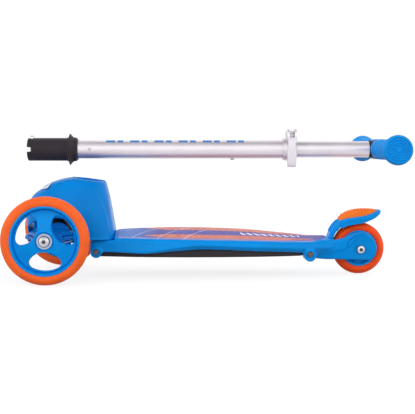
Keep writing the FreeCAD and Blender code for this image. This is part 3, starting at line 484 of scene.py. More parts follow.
def tube_print(made):
    """Plain blue bars of two widths in a row along the top of the outer tube."""
    x, _, z = made.measured()
    past = made.maths("SUBTRACT", x, PRINT_START)
    step = made.maths("MODULO", past, PRINT_PITCH)
    wide, slim = (made.maths("LESS_THAN", made.away(step, place), half) for place, half in PRINT_BARS)
    share = made.product(made.maths("MAXIMUM", wide, slim), made.between(past, 0, PRINT_LENGTH),
                         made.maths("GREATER_THAN", z, COLUMN_Z + PRINT_RISE))
    made.paint(share, (16, 112, 190))
    made.set("Metallic", made.product(made.maths("SUBTRACT", 1, share), TUBE_METALLIC))


def painted_recess_shade(made, centre_x, centre_z):
    """Painted shade where a six-lobed driver recess would be, in the middle of a domed axle bolt: a dark star
    in the colour, with no hollow cut.
    """
    x, _, z = made.measured()
    x, z = made.maths("SUBTRACT", x, centre_x), made.maths("SUBTRACT", z, centre_z)
    lobes = made.maths("COSINE", made.product(made.maths("ARCTAN2", z, x), 6))
    edge = made.maths("MULTIPLY_ADD", lobes, 0.6, 2.7)
    share = made.remap(made.maths("SUBTRACT", made.reach(x, z), edge), -0.3, 0.3, 1, 0)
    made.paint(share, (52, 52, 58))


tube_print(tube_metal)
# Painted shade for the driver recesses of the front and rear axle bolts
painted_recess_shade(front_bolt_steel, 0, FRONT_Z)
painted_recess_shade(rear_bolt_steel, REAR_X, REAR_Z)

CAD_FINISH = {
    front_bolt_steel: ["front_axle_bolts"],
    rear_bolt_steel: ["rear_axle_bolt", "rear_axle_nut"],
    black_paint: ["truck_bracket"],
    chrome: ["front_axle_inner_rings", "front_axle_sleeves", "rear_axle_inner_rings",
             "rear_axle_sleeves", "stem_button",
             "left_front_bearing_balls", "right_front_bearing_balls", "rear_bearing_balls"],
    zinc: ["left_front_bearing_rings", "right_front_bearing_rings", "rear_bearing_rings", "king_bolt",
           "king_nut", "pan_screws", "lug_nuts", "rear_axle_spacers", "brake_pin", "brake_springs",
           "brake_shoe", "front_axle_washers", "stem_rivet", "guide_pin", "clamp_bolt", "barrel_nut",
           "button_spring", "t_joint_bolt"],
    dark_steel: ["lug_bolts"],
    tube_metal: ["outer_tube"],
    aluminium: ["inner_tube", "crossbar"],
    cast_metal: ["clamp_collar", "clamp_lever"],
    shaded_truck_plastic: ["steering_socket"],
    black_plastic: ["stem_plug", "t_joint", "king_bushes", "guide_bush"],
    pan_plastic: ["underside_pan"],
    black_rubber: ["truck_bumpers"],
    blue_plastic: ["deck", "front_cover", "front_truck", "brake_fender"],
    pad_rubber: ["brake_tread_pad", "deck_grip_mat"],
    grip_rubber: ["left_grip", "right_grip"],
}
for finish, names in CAD_FINISH.items():
    for name in names:
        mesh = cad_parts[name].data
        mesh.materials.clear()
        mesh.materials.append(finish.material)


# ---------------------------------------------------------------- wheels

TYRE_HALF = 12
FRONT_RIM, REAR_RIM = 50.5, 28
CORE_OUTSIDE, CORE_HALF, RIM_WALL_HALF = 50.5, 11, 2.05
# A front core's web gets thicker towards the hub, and its middle lies a little outward
WEB_RADIUS, WEB_HALF, WEB_OUT, WEB_GROOVE = 48, 4.0, 0.6, 45.9
DISH_RADIUS, DISH_RUN, DISH_RISE = 42, 26, 5.0
HUB_RADIUS, HUB_HALF, HUB_RING = 14.2, 10, 12.6
# The windows between the spokes: place and radius of their ends, and where they stop
SPOKE_WINDOW = (42, 26.8, 42.8)
REAR_WEB_RADIUS, REAR_WEB_HALF, REAR_HUB_RADIUS = 27, 6, 15
POCKET_PLACE, POCKET_HALF, POCKET_RISE, POCKET_FLOOR = 19.6, 3.6, 2.4, 3.2


def bearing_seats(solid, r, w):
    """A wheel core with its two bearing seats cut."""
    return carve(solid, common(r - BEARING_SEAT, BEARING_HALF - np.abs(w), 0.3), 0.5)


def tyre(name, centre, radius, rim, body, node, finish):
    """A cast tyre: bulging walls, a round tread and a fine parting line."""
    half = TYRE_HALF
    profile = rounded_profile([
        (rim - 0.3, -half + 1.6, 0.4), (rim + 1.2, -half + 0.5, 0.8), (rim + 4.5, -half, 3),
        (radius - 5.0, -half + 1.0, 5), (radius - 1.2, -half + 5.4, 4), (radius, -4, 3), (radius, -0.35, 0.2),
        (radius - 0.12, 0, 0.1), (radius, 0.35, 0.2),
        (radius, 4, 3), (radius - 1.2, half - 5.4, 4), (radius - 5.0, half - 1.0, 5), (rim + 4.5, half, 3),
        (rim + 1.2, half - 0.5, 0.8), (rim - 0.3, half - 1.6, 0.4)])
    turned(name, profile, centre, (0, 1, 0), finish.material, body, 180, slot="orange_tyre",
           replaces=[node], sharp=0)


def wheel_core(name, centre, outward, body, node):
    """A dished core with three wide spokes between kidney-shaped windows."""
    cx, cy, cz = centre
    window_place, window_radius, window_edge = SPOKE_WINDOW

    def field(x, y, z):
        u, v, w = x - cx, z - cz, (y - cy) * outward
        r, from_web = np.sqrt(u * u + v * v), np.abs(w - WEB_OUT)
        rim = common(np.abs(r - CORE_OUTSIDE + RIM_WALL_HALF) - RIM_WALL_HALF, np.abs(w) - CORE_HALF, 1.4)
        dish = WEB_HALF + DISH_RISE * ramp_up((DISH_RADIUS - r) / DISH_RUN)
        web = common(r - WEB_RADIUS, from_web - dish, 1)
        hub = common(r - HUB_RADIUS, np.abs(w) - HUB_HALF, 1.2)
        angle = np.arctan2(u, -v)
        folded = (angle + math.pi / 3) % (2 * math.pi / 3) - math.pi / 3
        a, b = r * np.sin(folded), r * np.cos(folded)
        window = common(r - window_edge, np.sqrt(a * a + (b - window_place) ** 2) - window_radius, 9)
        lip = common(np.abs(window) - 1.3, from_web - dish - 0.5, 1.2)
        spokes = join(carve(web, window, 3.4), common(lip, -window, 0.8), 1.2)
        solid = join(join(spokes, hub, 3), rim, 1.2)
        groove = common(np.abs(r - WEB_GROOVE) - 0.7, 2.6 - from_web, 0.5)
        solid = carve(solid, groove, 0.8)
        ring = common(np.abs(r - HUB_RING) - 0.6, 8.6 - np.abs(w), 0.4)
        return carve(carve(bearing_seats(solid, r, w), ring, 0.4), r - HUB_BORE, 0.5)

    low = [cx - CORE_OUTSIDE - 1.5, cy - CORE_HALF - 1.5, cz - CORE_OUTSIDE - 1.5]
    high = [cx + CORE_OUTSIDE + 1.5, cy + CORE_HALF + 1.5, cz + CORE_OUTSIDE + 1.5]
    moulded(name, field, low, high, 0.85, blue_plastic.material, body, slot="blue_plastic", replaces=[node])


for name, side, body in (("LeftFront", -1, "left_front_wheel"), ("RightFront", 1, "right_front_wheel")):
    spot = (0, side * TRACK, FRONT_Z)
    tyre(name + "Tyre", spot, FRONT_Z, FRONT_RIM, body, body.replace("wheel", "tyre"), tyre_front)
    wheel_core(name + "Core", spot, side, body, body.replace("wheel", "core"))
tyre("RearTyre", (REAR_X, 0, REAR_Z), REAR_Z, REAR_RIM, "rear_wheel", "rear_tyre", tyre_rear)


def rear_core():
    """A closed core with a stepped web and six shallow pockets on each side."""
    def field(x, y, z):
        u, v, w = x - REAR_X, z - REAR_Z, np.abs(y)
        r = np.sqrt(u * u + v * v)
        rim = common(np.abs(r - REAR_RIM + 2.1) - 2.1, w - CORE_HALF, 1.2)
        web = common(r - REAR_WEB_RADIUS, w - REAR_WEB_HALF, 1)
        hub = common(r - REAR_HUB_RADIUS, w - HUB_HALF, 1.6)
        folded = np.arctan2(u, v) % (math.pi / 3) - math.pi / 6
        a, b = r * np.sin(folded), r * np.cos(folded)
        pocket = common(np.abs(a) - POCKET_HALF, np.abs(b - POCKET_PLACE) - POCKET_RISE, 2.5)
        pocket = common(pocket, POCKET_FLOOR - w, 0.5)
        solid = join(join(carve(web, pocket, 0.8), hub, 3), rim, 2.5)
        return carve(bearing_seats(solid, r, w), r - HUB_BORE, 0.5)

    moulded("RearCore", field, [REAR_X - 29, -12, REAR_Z - 29], [REAR_X + 29, 12, REAR_Z + 29], 0.7,
            blue_plastic.material, "rear_wheel", slot="blue_plastic", replaces=["rear_core"])


rear_core()


# ---------------------------------------------------------------- deck

# The deck along its length: half width, edge height, crown over the edge, skirt foot, flank crease
DECK_HALF = curve((50, 45), (84, 50.5), (98, 53.5), (130, 60), (215, 66), (290, 64), (350, 56),
                  (396, 42), (420, 33.5), (440, 30))
DECK_EDGE = curve((50, 57.5), (98, 59), (130, 58.6), (162, 57.8), (222, 56.5), (282, 55.2), (355, 52.8),
                  (396, 51.5), (420, 52), (440, 53))
DECK_CROWN = curve((50, 6), (98, 9.2), (130, 11.4), (215, 14.0), (290, 12.8), (350, 9.2), (396, 6.6),
                   (420, 6.0), (440, 5.5))
DECK_FOOT = curve((50, 41), (84, 39.8), (103, 39.4), (143, 38), (185, 41.5), (229, 43), (282, 41.4),
                  (355, 35.2), (385, 30), (440, 27))
DECK_CREASE = curve((50, 36), (120, 37), (147, 40), (185, 47), (225, 51.3), (281, 49), (355, 45.9),
                    (385, 44), (440, 44))
DECK_START, DECK_END, TONGUE_END, TONGUE_TOP = 57, 424, 94, 57.2

# The hollow under the deck that the pan closes
TRAY_START, TRAY_END, TRAY_TOP, TRAY_WALL = 104, 384, 44.5, 5.5

# The arms of the rear fork
ARM_SIDE = smooth_loop([
    (366, 50.6), (384, 50.7), (402, 51), (420, 52.4), (438, 55.6), (450, 60), (460, 64.6), (470, 66.3),
    (481, 63.6), (490, 56.5), (495, 47), (495.5, 38), (492, 29.6), (486, 24.2), (476, 23), (450, 23.8),
    (430, 24.6), (412, 26.2), (396, 28.6), (380, 31.5), (366, 35)])
ARM_CREASE = curve((366, 45.5), (385, 43), (400, 40.2), (421, 36.6), (438, 38.6), (452, 44.5), (461, 53),
                   (468, 61), (480, 66))
ARM_MIDDLE, ARM_HALF = 22, 6
FORK_GAP, FORK_START = 16, 415
BOLT_DIMPLE, DISC_GROOVE = 9.2, 21.5

# Lug bosses: place along the deck, height, radius, and where they start and end across it
LUGS = ((67, 39, 8.4, 44, 53), (390, 32.4, 9, 30, 47.5))
LUG_BORE = 4.9

MAT_START, MAT_END, MAT_INSET, MAT_RECESS = 97, 418, 5.5, 0.9
# Where the print's map of the deck's half width starts and ends, and the widest that it holds
PRINT_FIELD = (90, 430, 80)

# The pan below the deck
PAN_START, PAN_END, PAN_INSET = 58, 379, 9.5
PAN_BOTTOM, PAN_TOP, PAN_SLOPE = 31.5, 43, 0.15
PAN_GROOVE, GROOVE_MIDDLE, GROOVE_LENGTH_HALF, GROOVE_DEPTH = 12, 222, 110, 0.7
PAN_SCREWS, SCREW_ACROSS, SCREW_HEAD, SCREW_DEPTH = (130, 215, 290, 350), 24, 4.4, 1.35


def crown_top(x, y):
    half = DECK_HALF(x)
    return DECK_EDGE(x) + DECK_CROWN(x) * (1 - np.clip(np.abs(y) / half, 0, 1.2) ** 2)


def mat_half(x):
    """Half width of the grip mat, rounded off at both ends."""
    front = np.clip((x - MAT_START) / 3, 0, 1)
    rear = np.clip((MAT_END - x) / 26, 0, 1)
    return (DECK_HALF(x) - MAT_INSET) * (1 - (1 - front) ** 2.4) * (1 - 0.55 * (1 - rear) ** 2.2)


def deck_field(x, y, z):
    across = np.abs(y)
    half, edge, crease, foot = DECK_HALF(x), DECK_EDGE(x), DECK_CREASE(x), DECK_FOOT(x)
    upper = across - half - 1.7 * np.clip((edge - z) / 12, -0.4, 1.5)
    lower = (across - half - 2.2 + (crease - z) * 0.95) * 0.72
    side = common(upper, lower, 0.7)
    top = z - crown_top(x, y)
    tongue = join(z - TONGUE_TOP, TONGUE_END - x, 2)
    body = common(common(side, common(top, tongue, 1.5), 4.5), foot - z, 1.6)
    body = common(common(body, DECK_START - x, 10), x - DECK_END - 0.05 * across, 8)
    recess = common(common(across - mat_half(x), MAT_START - x, 3), x - MAT_END, 3)
    recess = common(recess, crown_top(x, y) - MAT_RECESS - z, 0.2)
    body = carve(body, recess, 0.6)
    below = common(common(across - half + TRAY_WALL, z - TRAY_TOP, 1.5),
                   common(TRAY_START - x, x - TRAY_END, 2), 2)
    body = carve(body, below, 1)
    below_crease = ARM_CREASE(x) - z
    face = 1.9 * (1 / (1 + np.exp(-below_crease / 0.9)) - 0.15) + 0.10 * np.clip(below_crease, 0, 14)
    shape = outline_field(ARM_SIDE, x, z)
    arm = common(shape, np.abs(across - ARM_MIDDLE) - ARM_HALF + np.where(across > ARM_MIDDLE, face, 0), 3.2)
    bolt = np.sqrt((x - REAR_X) ** 2 + (z - REAR_Z) ** 2)
    arm = carve(arm, common(bolt - BOLT_DIMPLE, ARM_MIDDLE + 3.2 - across, 0.5), 1.6)
    arm = carve(arm, common(np.abs(bolt - DISC_GROOVE) - 0.5, ARM_MIDDLE + 4.2 - across, 0.3), 0.5)
    body = join(body, arm, 9)
    for lug_x, lug_z, radius, inside, outside in LUGS:
        around = np.sqrt((x - lug_x) ** 2 + (z - lug_z) ** 2)
        boss = common(around - radius, np.abs(across - (inside + outside) / 2) - (outside - inside) / 2, 2)
        body = join(body, boss, 5)
        body = carve(body, common(around - LUG_BORE, outside - 0.9 - across, 0.4), 0.8)
    return carve(body, common(across - FORK_GAP, FORK_START - x, 6), 2.5)


moulded("Deck", deck_field, [49, -73, 20], [500, 73, 78], 1.25, blue_plastic.material, "base",
        slot="blue_plastic", replaces=["deck"])


def chevrons(x, y, pitch, slant):
    """A triangle wave from 0 to 1 of V-shaped rows across the deck."""
    phase = (x / pitch + np.abs(y) * slant / pitch) % 1
    return 1 - np.abs(2 * phase - 1)


def grip_mat():
    """A printed rubber sheet on the deck's crown, with raised V-shaped ribs and rounded edges."""
    rows, columns = 340, 112
    x = np.linspace(MAT_START + 0.6, MAT_END - 0.6, rows)[:, None]
    share = np.linspace(-1, 1, columns)[None]
    share = np.sign(share) * (1 - (1 - np.abs(share)) ** 1.15)
    half = mat_half(x) - 0.5
    y = half * share
    x = np.broadcast_to(x, y.shape)
    edge = np.minimum(np.minimum(half - np.abs(y), x - MAT_START), MAT_END - x)
    rounding = np.clip(edge / 1.3, 0, 1)
    thickness = 0.1 + 1.35 * np.sqrt(1 - (1 - rounding) ** 2)
    inner = (np.clip((half - 21 - np.abs(y)) / 2, 0, 1) * np.clip((x - 150) / 8, 0, 1)
             * np.clip((385 - x) / 8, 0, 1))
    ribs = np.clip((chevrons(x, y, 9, 0.5) - 0.55) * 4, 0, 1)
    band = np.clip(1 - np.abs(half - 12.5 - np.abs(y)) / 6.5, 0, 1)
    studs = np.clip(np.sin(x * 1.25) * np.sin(y * 1.25) * 3 - 1.2, 0, 1)
    thickness = thickness + 0.45 * ribs * inner * rounding + 0.3 * studs * np.clip(band * 4, 0, 1) * rounding
    base = crown_top(x, y) - MAT_RECESS
    top = np.stack([x, y, base + thickness + 0.5], -1).reshape(-1, 3)
    foot = np.stack([x, y, base - 0.2], -1).reshape(-1, 3)
    points = np.concatenate([top, foot])
    index = np.arange(rows * columns).reshape(rows, columns)
    quads = np.stack([index[:-1, :-1], index[1:, :-1], index[1:, 1:], index[:-1, 1:]], -1).reshape(-1, 4)
    loop = np.concatenate([index[:, 0], index[-1, 1:], index[-2::-1, -1], index[0, -2:0:-1]])
    count = rows * columns
    wall = np.stack([loop, loop + count, np.roll(loop, -1) + count, np.roll(loop, -1)], 1)
    faces = np.concatenate([quads, quads[:, ::-1] + count, wall])
    return build("GripMat", points, faces, mat_print().material, "base", slot="mat_rubber",
                 replaces=["deck_grip_mat"], sharp=60)


def mat_print():
    """Violet rubber, printed with a broken orange band along each side and fine pale lines between them."""
    made = Finish("MatPrint", Specular_IOR_Level=0.4)
    x, y, _ = made.measured()
    across = made.maths("ABSOLUTE", y)

    # The deck's half width along the mat, and the distance in from its edge
    start, end, widest = PRINT_FIELD
    width_curve = made.add("ShaderNodeFloatCurve", {"Value": made.remap(x, start, end, 0, 1)})
    places = np.linspace(start, end, 18)
    points = width_curve.mapping.curves[0].points
    while len(points) < len(places):
        points.new(0.5, 0.5)
    for point, place in zip(points, places):
        point.location = ((place - start) / (end - start), float(DECK_HALF(place)) / widest)
    width_curve.mapping.update()
    edge = made.maths("SUBTRACT", made.product(width_curve.outputs[0], widest), across)

    # Orange: a band near each edge and one in the middle, both tapering, with striped and speckled ink
    taper = made.product(made.remap(x, 140, 172, 0.15, 1), made.remap(x, 340, 396, 1, 0.2))
    band = made.maths("SUBTRACT", made.product(taper, 6.6), made.away(edge, 14.2))
    centre = made.maths("SUBTRACT", made.product(taper, width_curve.outputs[0], 28), across)
    bands = made.maths("MAXIMUM", made.remap(band, -0.3, 0.3, 0, 1), made.remap(centre, -0.5, 0.5, 0, 1))
    stripes = made.maths("PINGPONG", made.maths("ADD", edge, made.maths("PINGPONG", x, 3.0)), 1.6)
    ink = made.product(made.remap(stripes, 0.25, 0.6, 0.35, 1),
                       made.remap(made.noise(900, 3, 0.7), 0.35, 0.6, 0.6, 1))
    warm = made.blend(made.remap(made.noise(260, 3, 0.6), 0.4, 0.6, 0, 1), (246, 122, 62), (248, 162, 88))

    # Violet ground that turns blue at the front
    ground = made.blend(made.remap(made.noise(40, 3), 0.3, 0.7, 0, 1), (94, 90, 166), (108, 102, 178))
    ground = made.blend(made.remap(x, 118, 160, 0.8, 0), ground, (96, 146, 214))
    made.set("Base Color", made.blend(made.product(bands, made.between(x, 141, 396), ink), ground, warm))

    # Pale V-shaped lines, a border, and a row of short slanted marks
    vees = made.maths("PINGPONG", made.maths("ADD", x, made.product(across, 0.9)), 21)
    vees = made.product(made.remap(vees, 0.5, 1.1, 1, 0), made.remap(edge, 4, 7, 0, 0.75),
                        made.between(x, 110, 236))
    made.paint(vees, (226, 226, 246))
    made.paint(made.remap(made.away(edge, 6.6), 0.3, 0.8, 0.6, 0), (196, 190, 226))
    dashes = made.maths("PINGPONG", made.maths("ADD", x, made.product(edge, 0.9)), 5.5)
    dashes = made.product(made.maths("LESS_THAN", made.away(edge, 29), 4.2),
                          made.maths("GREATER_THAN", dashes, 2.6), made.between(x, 284, 376))
    made.paint(dashes, (238, 240, 252))
    made.set("Roughness", made.remap(made.noise(200, 4, 0.7), 0.3, 0.7, 0.5, 0.66))
    made.bump(made.noise(1300, 3, 0.6), 0.45, 0.0003)
    return made


grip_mat()


def pan():
    """The dark pan under the deck, with long grooves and counterbores for its screws."""
    def field(x, y, z):
        across = np.abs(y)
        side = across - DECK_HALF(x) + PAN_INSET - PAN_SLOPE * (z - PAN_BOTTOM)
        body = common(common(side, PAN_BOTTOM - z, 3), common(PAN_START - x, x - PAN_END, 6), 3)
        body = common(body, z - PAN_TOP, 1)
        groove = common(np.abs(across - PAN_GROOVE) - 1.2, np.abs(x - GROOVE_MIDDLE) - GROOVE_LENGTH_HALF, 2)
        body = carve(body, common(groove, z - PAN_BOTTOM - GROOVE_DEPTH, 0.6), 0.8)
        for place in PAN_SCREWS:
            hole = np.sqrt((x - place) ** 2 + (across - SCREW_ACROSS) ** 2) - SCREW_HEAD
            body = carve(body, common(hole, z - PAN_BOTTOM - SCREW_DEPTH, 0.2), 0.5)
        return body

    moulded("Pan", field, [PAN_START - 3, -60, 29], [PAN_END + 3, 60, 45], 1.3, pan_plastic.material,
            "base", slot="black_plastic", replaces=["underside_pan"])


pan()


# ---------------------------------------------------------------- front cover and truck

TILT = math.radians(7)
MOUTH_X, MOUTH_Z = 53.5, 146.7
MOUTH_RADIUS, LIP_RADIUS, RIM_RADIUS = 23.4, 25.3, 25.2

# The cover by height: front, rear, half width, corner radius, and where the embossed arc runs on its side
COVER_FRONT = curve((50, -36), (58, -37), (75, -38.6), (95, -39.4), (108, -37.6), (121.5, -32.4),
                    (135.6, -15.6), (142, -6), (146.5, 6), (150, 20), (154, 34))
COVER_REAR = curve((50, 95.6), (58, 95), (71, 93.2), (90, 90), (119, 85.3), (144, 79.6), (154, 77.6))
COVER_HALF = curve((50, 54), (58, 55), (75, 56), (95, 55), (119, 50.5), (134, 44.5), (143, 37.5),
                   (149, 30), (154, 25))
COVER_CORNER = curve((50, 30), (75, 33), (119, 34), (134, 32), (143, 28), (149, 24), (154, 21))
COVER_ARC = curve((50, 87.5), (59, 86.6), (73, 85.6), (87, 83), (103, 78.5), (119, 71.5), (130, 61),
                  (138, 47), (146, 30), (154, 10))
COVER_FOOT, COVER_WALL, COVER_ROOF = 57.6, 2.6, 3.4
# How far the side ahead of the arc stands out, how high the ridge along it is, and where both fade
ARC_STEP, ARC_RIDGE, ARC_INSIDE, ARC_FADE = 1.3, 1.15, 22, 8
NOSE_HALF, NOSE_TOP, NOSE_END = 30, 66, 20

# The arch in each side that the truck swings in: middle, half width, spring line and rise
ARCH_X, ARCH_HALF, ARCH_Z, ARCH_RISE = 5, 51, 58, 33


def cover_plan(x, y, z, inset):
    front, rear = COVER_FRONT(z) + inset, COVER_REAR(z) - inset
    half, corner = COVER_HALF(z) - inset, COVER_CORNER(z) - inset
    u = np.abs(x - (front + rear) / 2) - (rear - front) / 2 + corner
    v = np.abs(y) - half + corner
    return np.sqrt(np.maximum(u, 0) ** 2 + np.maximum(v, 0) ** 2) + np.minimum(np.maximum(u, v), 0) - corner


def mouth_place(x, y, z):
    """Distance from the mouth's leaning axis, and height along it."""
    u = (x - MOUTH_X) * math.cos(TILT) - (z - MOUTH_Z) * math.sin(TILT)
    w = (x - MOUTH_X) * math.sin(TILT) + (z - MOUTH_Z) * math.cos(TILT)
    return np.sqrt(u * u + y * y), w


def cover_field(x, y, z):
    around, above = mouth_place(x, y, z)
    shell = cover_plan(x, y, z, 0)
    rise = 1 / (1 + np.exp((x - COVER_ARC(z)) / 0.7))
    side = np.clip((np.abs(y) - ARC_INSIDE) / ARC_FADE, 0, 1)
    shell = shell - ARC_STEP * rise * side + ARC_STEP / 2
    ridge = np.exp(-((x - COVER_ARC(z)) / 1.6) ** 2) * side
    shell = shell - ARC_RIDGE * ridge
    flange = ramp_up(np.clip((61.5 - z) / 2.5, 0, 1) * np.clip((x - 40) / 20, 0, 1))
    shell = shell - 1.1 * flange
    rim = np.exp(-((around - RIM_RADIUS) / 1.9) ** 2)
    top = above + 0.3 - 1.5 * rim
    outer = common(shell, top, 3.2)
    inner = common(cover_plan(x, y, z + 2.8, COVER_WALL), above + COVER_ROOF, 3)
    hollow = common(carve(outer, inner, 0.6), COVER_FOOT - z, 1)
    hollow = carve(hollow, common(around - MOUTH_RADIUS, -6 - above, 0.5), 2.4)
    hollow = carve(hollow, common(around - LIP_RADIUS, np.abs(above + 1.2) - 3.1, 0.3), 0.4)
    arch = np.sqrt(((x - ARCH_X) / ARCH_HALF) ** 2 + (np.maximum(z - ARCH_Z, 0) / ARCH_RISE) ** 2)
    hollow = carve(hollow, common(arch * 40 - 40, 27 - np.abs(y), 2), 2)
    nose = common(np.abs(y) - NOSE_HALF, common(z - NOSE_TOP, x - NOSE_END, 3), 3)
    return carve(hollow, nose, 2)


# Painted shade: a darker copy of the blue plastic for the front cover
shaded_cover_finish = plastic("ShadedCoverPlastic", (0, 130, 214), 0.30)
BADGE_X, BADGE_Z, BADGE_RADIUS = -9, 137, 9.6


def cover_badge(made):
    """A plain pale ring with a darker outline on the front of the cover."""
    x, y, z = made.measured()
    slant = made.maths("ADD", made.product(made.maths("SUBTRACT", x, BADGE_X), 0.6),
                       made.product(made.maths("SUBTRACT", z, BADGE_Z), 0.8))
    reach = made.reach(slant, made.product(y, 0.31))
    front = made.maths("LESS_THAN", x, BADGE_X + 14)
    ring = made.remap(made.away(reach, BADGE_RADIUS), 0.9, 1.3, 1, 0)
    made.paint(made.product(ring, front), (236, 240, 244))
    outline = made.remap(made.away(reach, BADGE_RADIUS + 2), 0.6, 1.0, 1, 0)
    made.paint(made.product(outline, front), (12, 84, 150))


cover_badge(shaded_cover_finish)
moulded("FrontCover", cover_field, [-43, -60, 55], [100, 60, 156], 1.05, shaded_cover_finish.material, "base",
        slot="blue_plastic", replaces=["front_cover"])


# The king bolt crosses the beam at this height, leaning to the front by 30 degrees
KING_Z = 64
KING_X, KING_UP = -math.sin(math.radians(30)), math.cos(math.radians(30))
KING_BORE, KING_HUB, KING_HALF, KING_CLEAR = 6.1, 15, 14.9, 22
SHIELD_X, SHIELD_Y, SHIELD_Z, SHIELD_HALF, SHIELD_RISE, SHIELD_FOOT = 11, 45.4, 60, 19.5, 24, 47

# The beam's half length along the scooter and half height, and the shares lost in the middle and
# towards the wheels
BEAM_REACH, BEAM_HIGH = 38, 11.5
MIDDLE_HALF, MIDDLE_REACH_LOSS, MIDDLE_HIGH_LOSS = 38, 0.65, 0.32
SLIM_START, SLIM_REACH_LOSS, SLIM_HIGH_LOSS = 62, 0.42, 0.5
BEAM_END, RIB_END, STUB_AXLE_END, STUB_AXLE_RADIUS = 14.5, 20, 10.8, 10


def truck_field(x, y, z):
    across, height = np.abs(y), z - KING_Z
    slim = ramp_up((across - SLIM_START) / (TRACK - 16 - SLIM_START))
    inner = ramp_up((MIDDLE_HALF - across) / 6)
    reach = BEAM_REACH * (1 - SLIM_REACH_LOSS * slim) * (1 - MIDDLE_REACH_LOSS * inner)
    high = (BEAM_HIGH - SLIM_HIGH_LOSS * slim) * (1 - MIDDLE_HIGH_LOSS * inner)
    lens = np.sqrt(((x - 1) / reach) ** 2 + (height / high) ** 2)
    beam = common((lens - 1) * 10.5, across - TRACK + BEAM_END, 5)
    rib = common(np.abs(np.abs(height) - 3.4) - 0.5, (lens - 1.03) * 10, 0.6)
    beam = carve(beam, common(rib, across - TRACK + RIB_END, 1), 0.8)
    from_axle = np.sqrt(x * x + (z - FRONT_Z) ** 2)
    end = common(from_axle - STUB_AXLE_RADIUS, across - TRACK + STUB_AXLE_END, 1.2)
    up_bolt = x * KING_X + height * KING_UP
    from_king = np.sqrt(np.maximum(x * x + height ** 2 - up_bolt * up_bolt, 0) + y * y)
    hub = common(from_king - KING_HUB, np.abs(up_bolt) - KING_HALF, 1.5)
    beam = carve(beam, common(from_king - KING_CLEAR, KING_HALF - 0.1 - np.abs(up_bolt), 0.5), 1)
    solid = join(join(beam, end, 5), hub, 6)
    oval = np.sqrt(((x - SHIELD_X) / SHIELD_HALF) ** 2 + ((z - SHIELD_Z) / SHIELD_RISE) ** 2) * 22 - 22
    shield = common(common(oval, SHIELD_FOOT - z, 1), np.abs(across - SHIELD_Y) - 1.1, 0.8)
    return carve(join(solid, shield, 2), from_king - KING_BORE, 0.8)


moulded("FrontTruck", truck_field, [-42, 8 - TRACK, 42], [44, TRACK - 8, 90], 1.0,
        shaded_truck_plastic.material, "truck", slot="blue_plastic", replaces=["front_truck"])


# ---------------------------------------------------------------- brake

BRAKE_X, BRAKE_Z, BRAKE_BORE = 423, 46, 2.6
FENDER_SIDE = smooth_loop([
    (421.2, 50), (422.4, 58), (426.4, 68), (432.4, 77), (440, 83.6), (449.5, 87.2), (462, 89), (476, 91),
    (488, 94.4), (497, 98.6), (502.6, 99.6), (505.4, 97), (504.2, 93), (497, 88.6), (486, 85.2),
    (473, 83.3), (460, 82), (449.6, 79.4), (441.4, 74), (435, 66.4), (430.6, 58), (428.8, 50)])
FENDER_SKIRT = smooth_loop([
    (441, 80), (450, 84), (463, 86), (477, 88), (489, 91.4), (498, 95.6), (503.4, 95.4), (498, 89.6),
    (487, 83.8), (474, 79.4), (460, 77), (450, 74.8), (443, 71.6)])
FENDER_HALF = curve((415, 14), (430, 14.3), (438, 16), (447, 19.2), (460, 20.3), (476, 20.3), (488, 18.6),
                    (498, 13.6), (505.6, 4))
SKIRT_INSIDE, HINGE_HALF, HINGE_RADIUS = 14.4, 11.4, 5.5
NECK_HALF_X, NECK_Z, NECK_HALF_Z = 4.6, 50, 6
RIB_ACROSS, RIB_FOOT, RIB_REAR, RIB_TOP = 6, 66, 452, 84
TRAY_START_X, TRAY_SIDE = 439, 2.6
PAD_SIDE = smooth_loop([
    (440, 84.4), (442.4, 89.6), (449, 94.2), (457, 97.6), (468, 99.8), (480, 100.4), (490, 100),
    (495.6, 99.2), (498, 97.4), (491, 93.4), (480, 90.4), (464, 87.6), (450, 85.6)])
PAD_START, PAD_DROP, PAD_SAG = 437.6, 1.0, 1.2
FIRST_STUDS, STUD_PITCH, STUD_RADIUS, STUD_RISE = 440, 5.2, 1.8, 1.9


def fender_field(x, y, z):
    across, half, from_pin = np.abs(y), FENDER_HALF(x), np.sqrt((x - BRAKE_X) ** 2 + (z - BRAKE_Z) ** 2)
    blade = outline_field(FENDER_SIDE, x, z)
    solid = common(blade, across - half, 3.2)
    skirt = common(outline_field(FENDER_SKIRT, x, z), np.maximum(SKIRT_INSIDE - across, across - half), 1.2)
    neck = common(np.abs(z - NECK_Z) - NECK_HALF_Z, across - HINGE_HALF, 1)
    neck = common(np.abs(x - BRAKE_X) - NECK_HALF_X, neck, 1)
    hub = common(from_pin - HINGE_RADIUS, across - HINGE_HALF, 0.8)
    solid = join(join(join(solid, skirt, 2), neck, 3), hub, 3)
    tray = common(outline_field(PAD_SIDE, x, z), TRAY_START_X - x, 1)
    tray = common(across - half + TRAY_SIDE, tray, 1.5)
    rib = common(common(np.abs(across - RIB_ACROSS) - 1, blade - 2.0, 1), RIB_FOOT - z, 1)
    rib = common(rib, common(x - RIB_REAR, z - RIB_TOP, 1), 1)
    solid = join(carve(solid, tray, 0.8), rib, 2)
    return carve(solid, from_pin - BRAKE_BORE, 0.3)


moulded("BrakeFender", fender_field, [412, -23, 38], [509, 23, 104], 0.75, blue_plastic.material, "brake",
        slot="blue_plastic", replaces=["brake_fender"])


def pad_field(x, y, z):
    side, sag = np.abs(y) - FENDER_HALF(x), (y / 15) ** 2 * PAD_SAG
    slab = common(outline_field(PAD_SIDE, x, z + PAD_DROP + sag), side + 3.0, 2.2)
    slab = common(slab, PAD_START - x, 1)
    row = np.round((x - FIRST_STUDS) / STUD_PITCH)
    u = x - FIRST_STUDS - row * STUD_PITCH
    v = (y + (1 - row % 2) * STUD_PITCH / 2) % STUD_PITCH - STUD_PITCH / 2
    stud = np.sqrt(u * u + v * v) - STUD_RADIUS
    tall = common(outline_field(PAD_SIDE, x, z + PAD_DROP - STUD_RISE + sag), side + 4.0, 1)
    return join(slab, common(stud, tall, 1.0), 0.9)


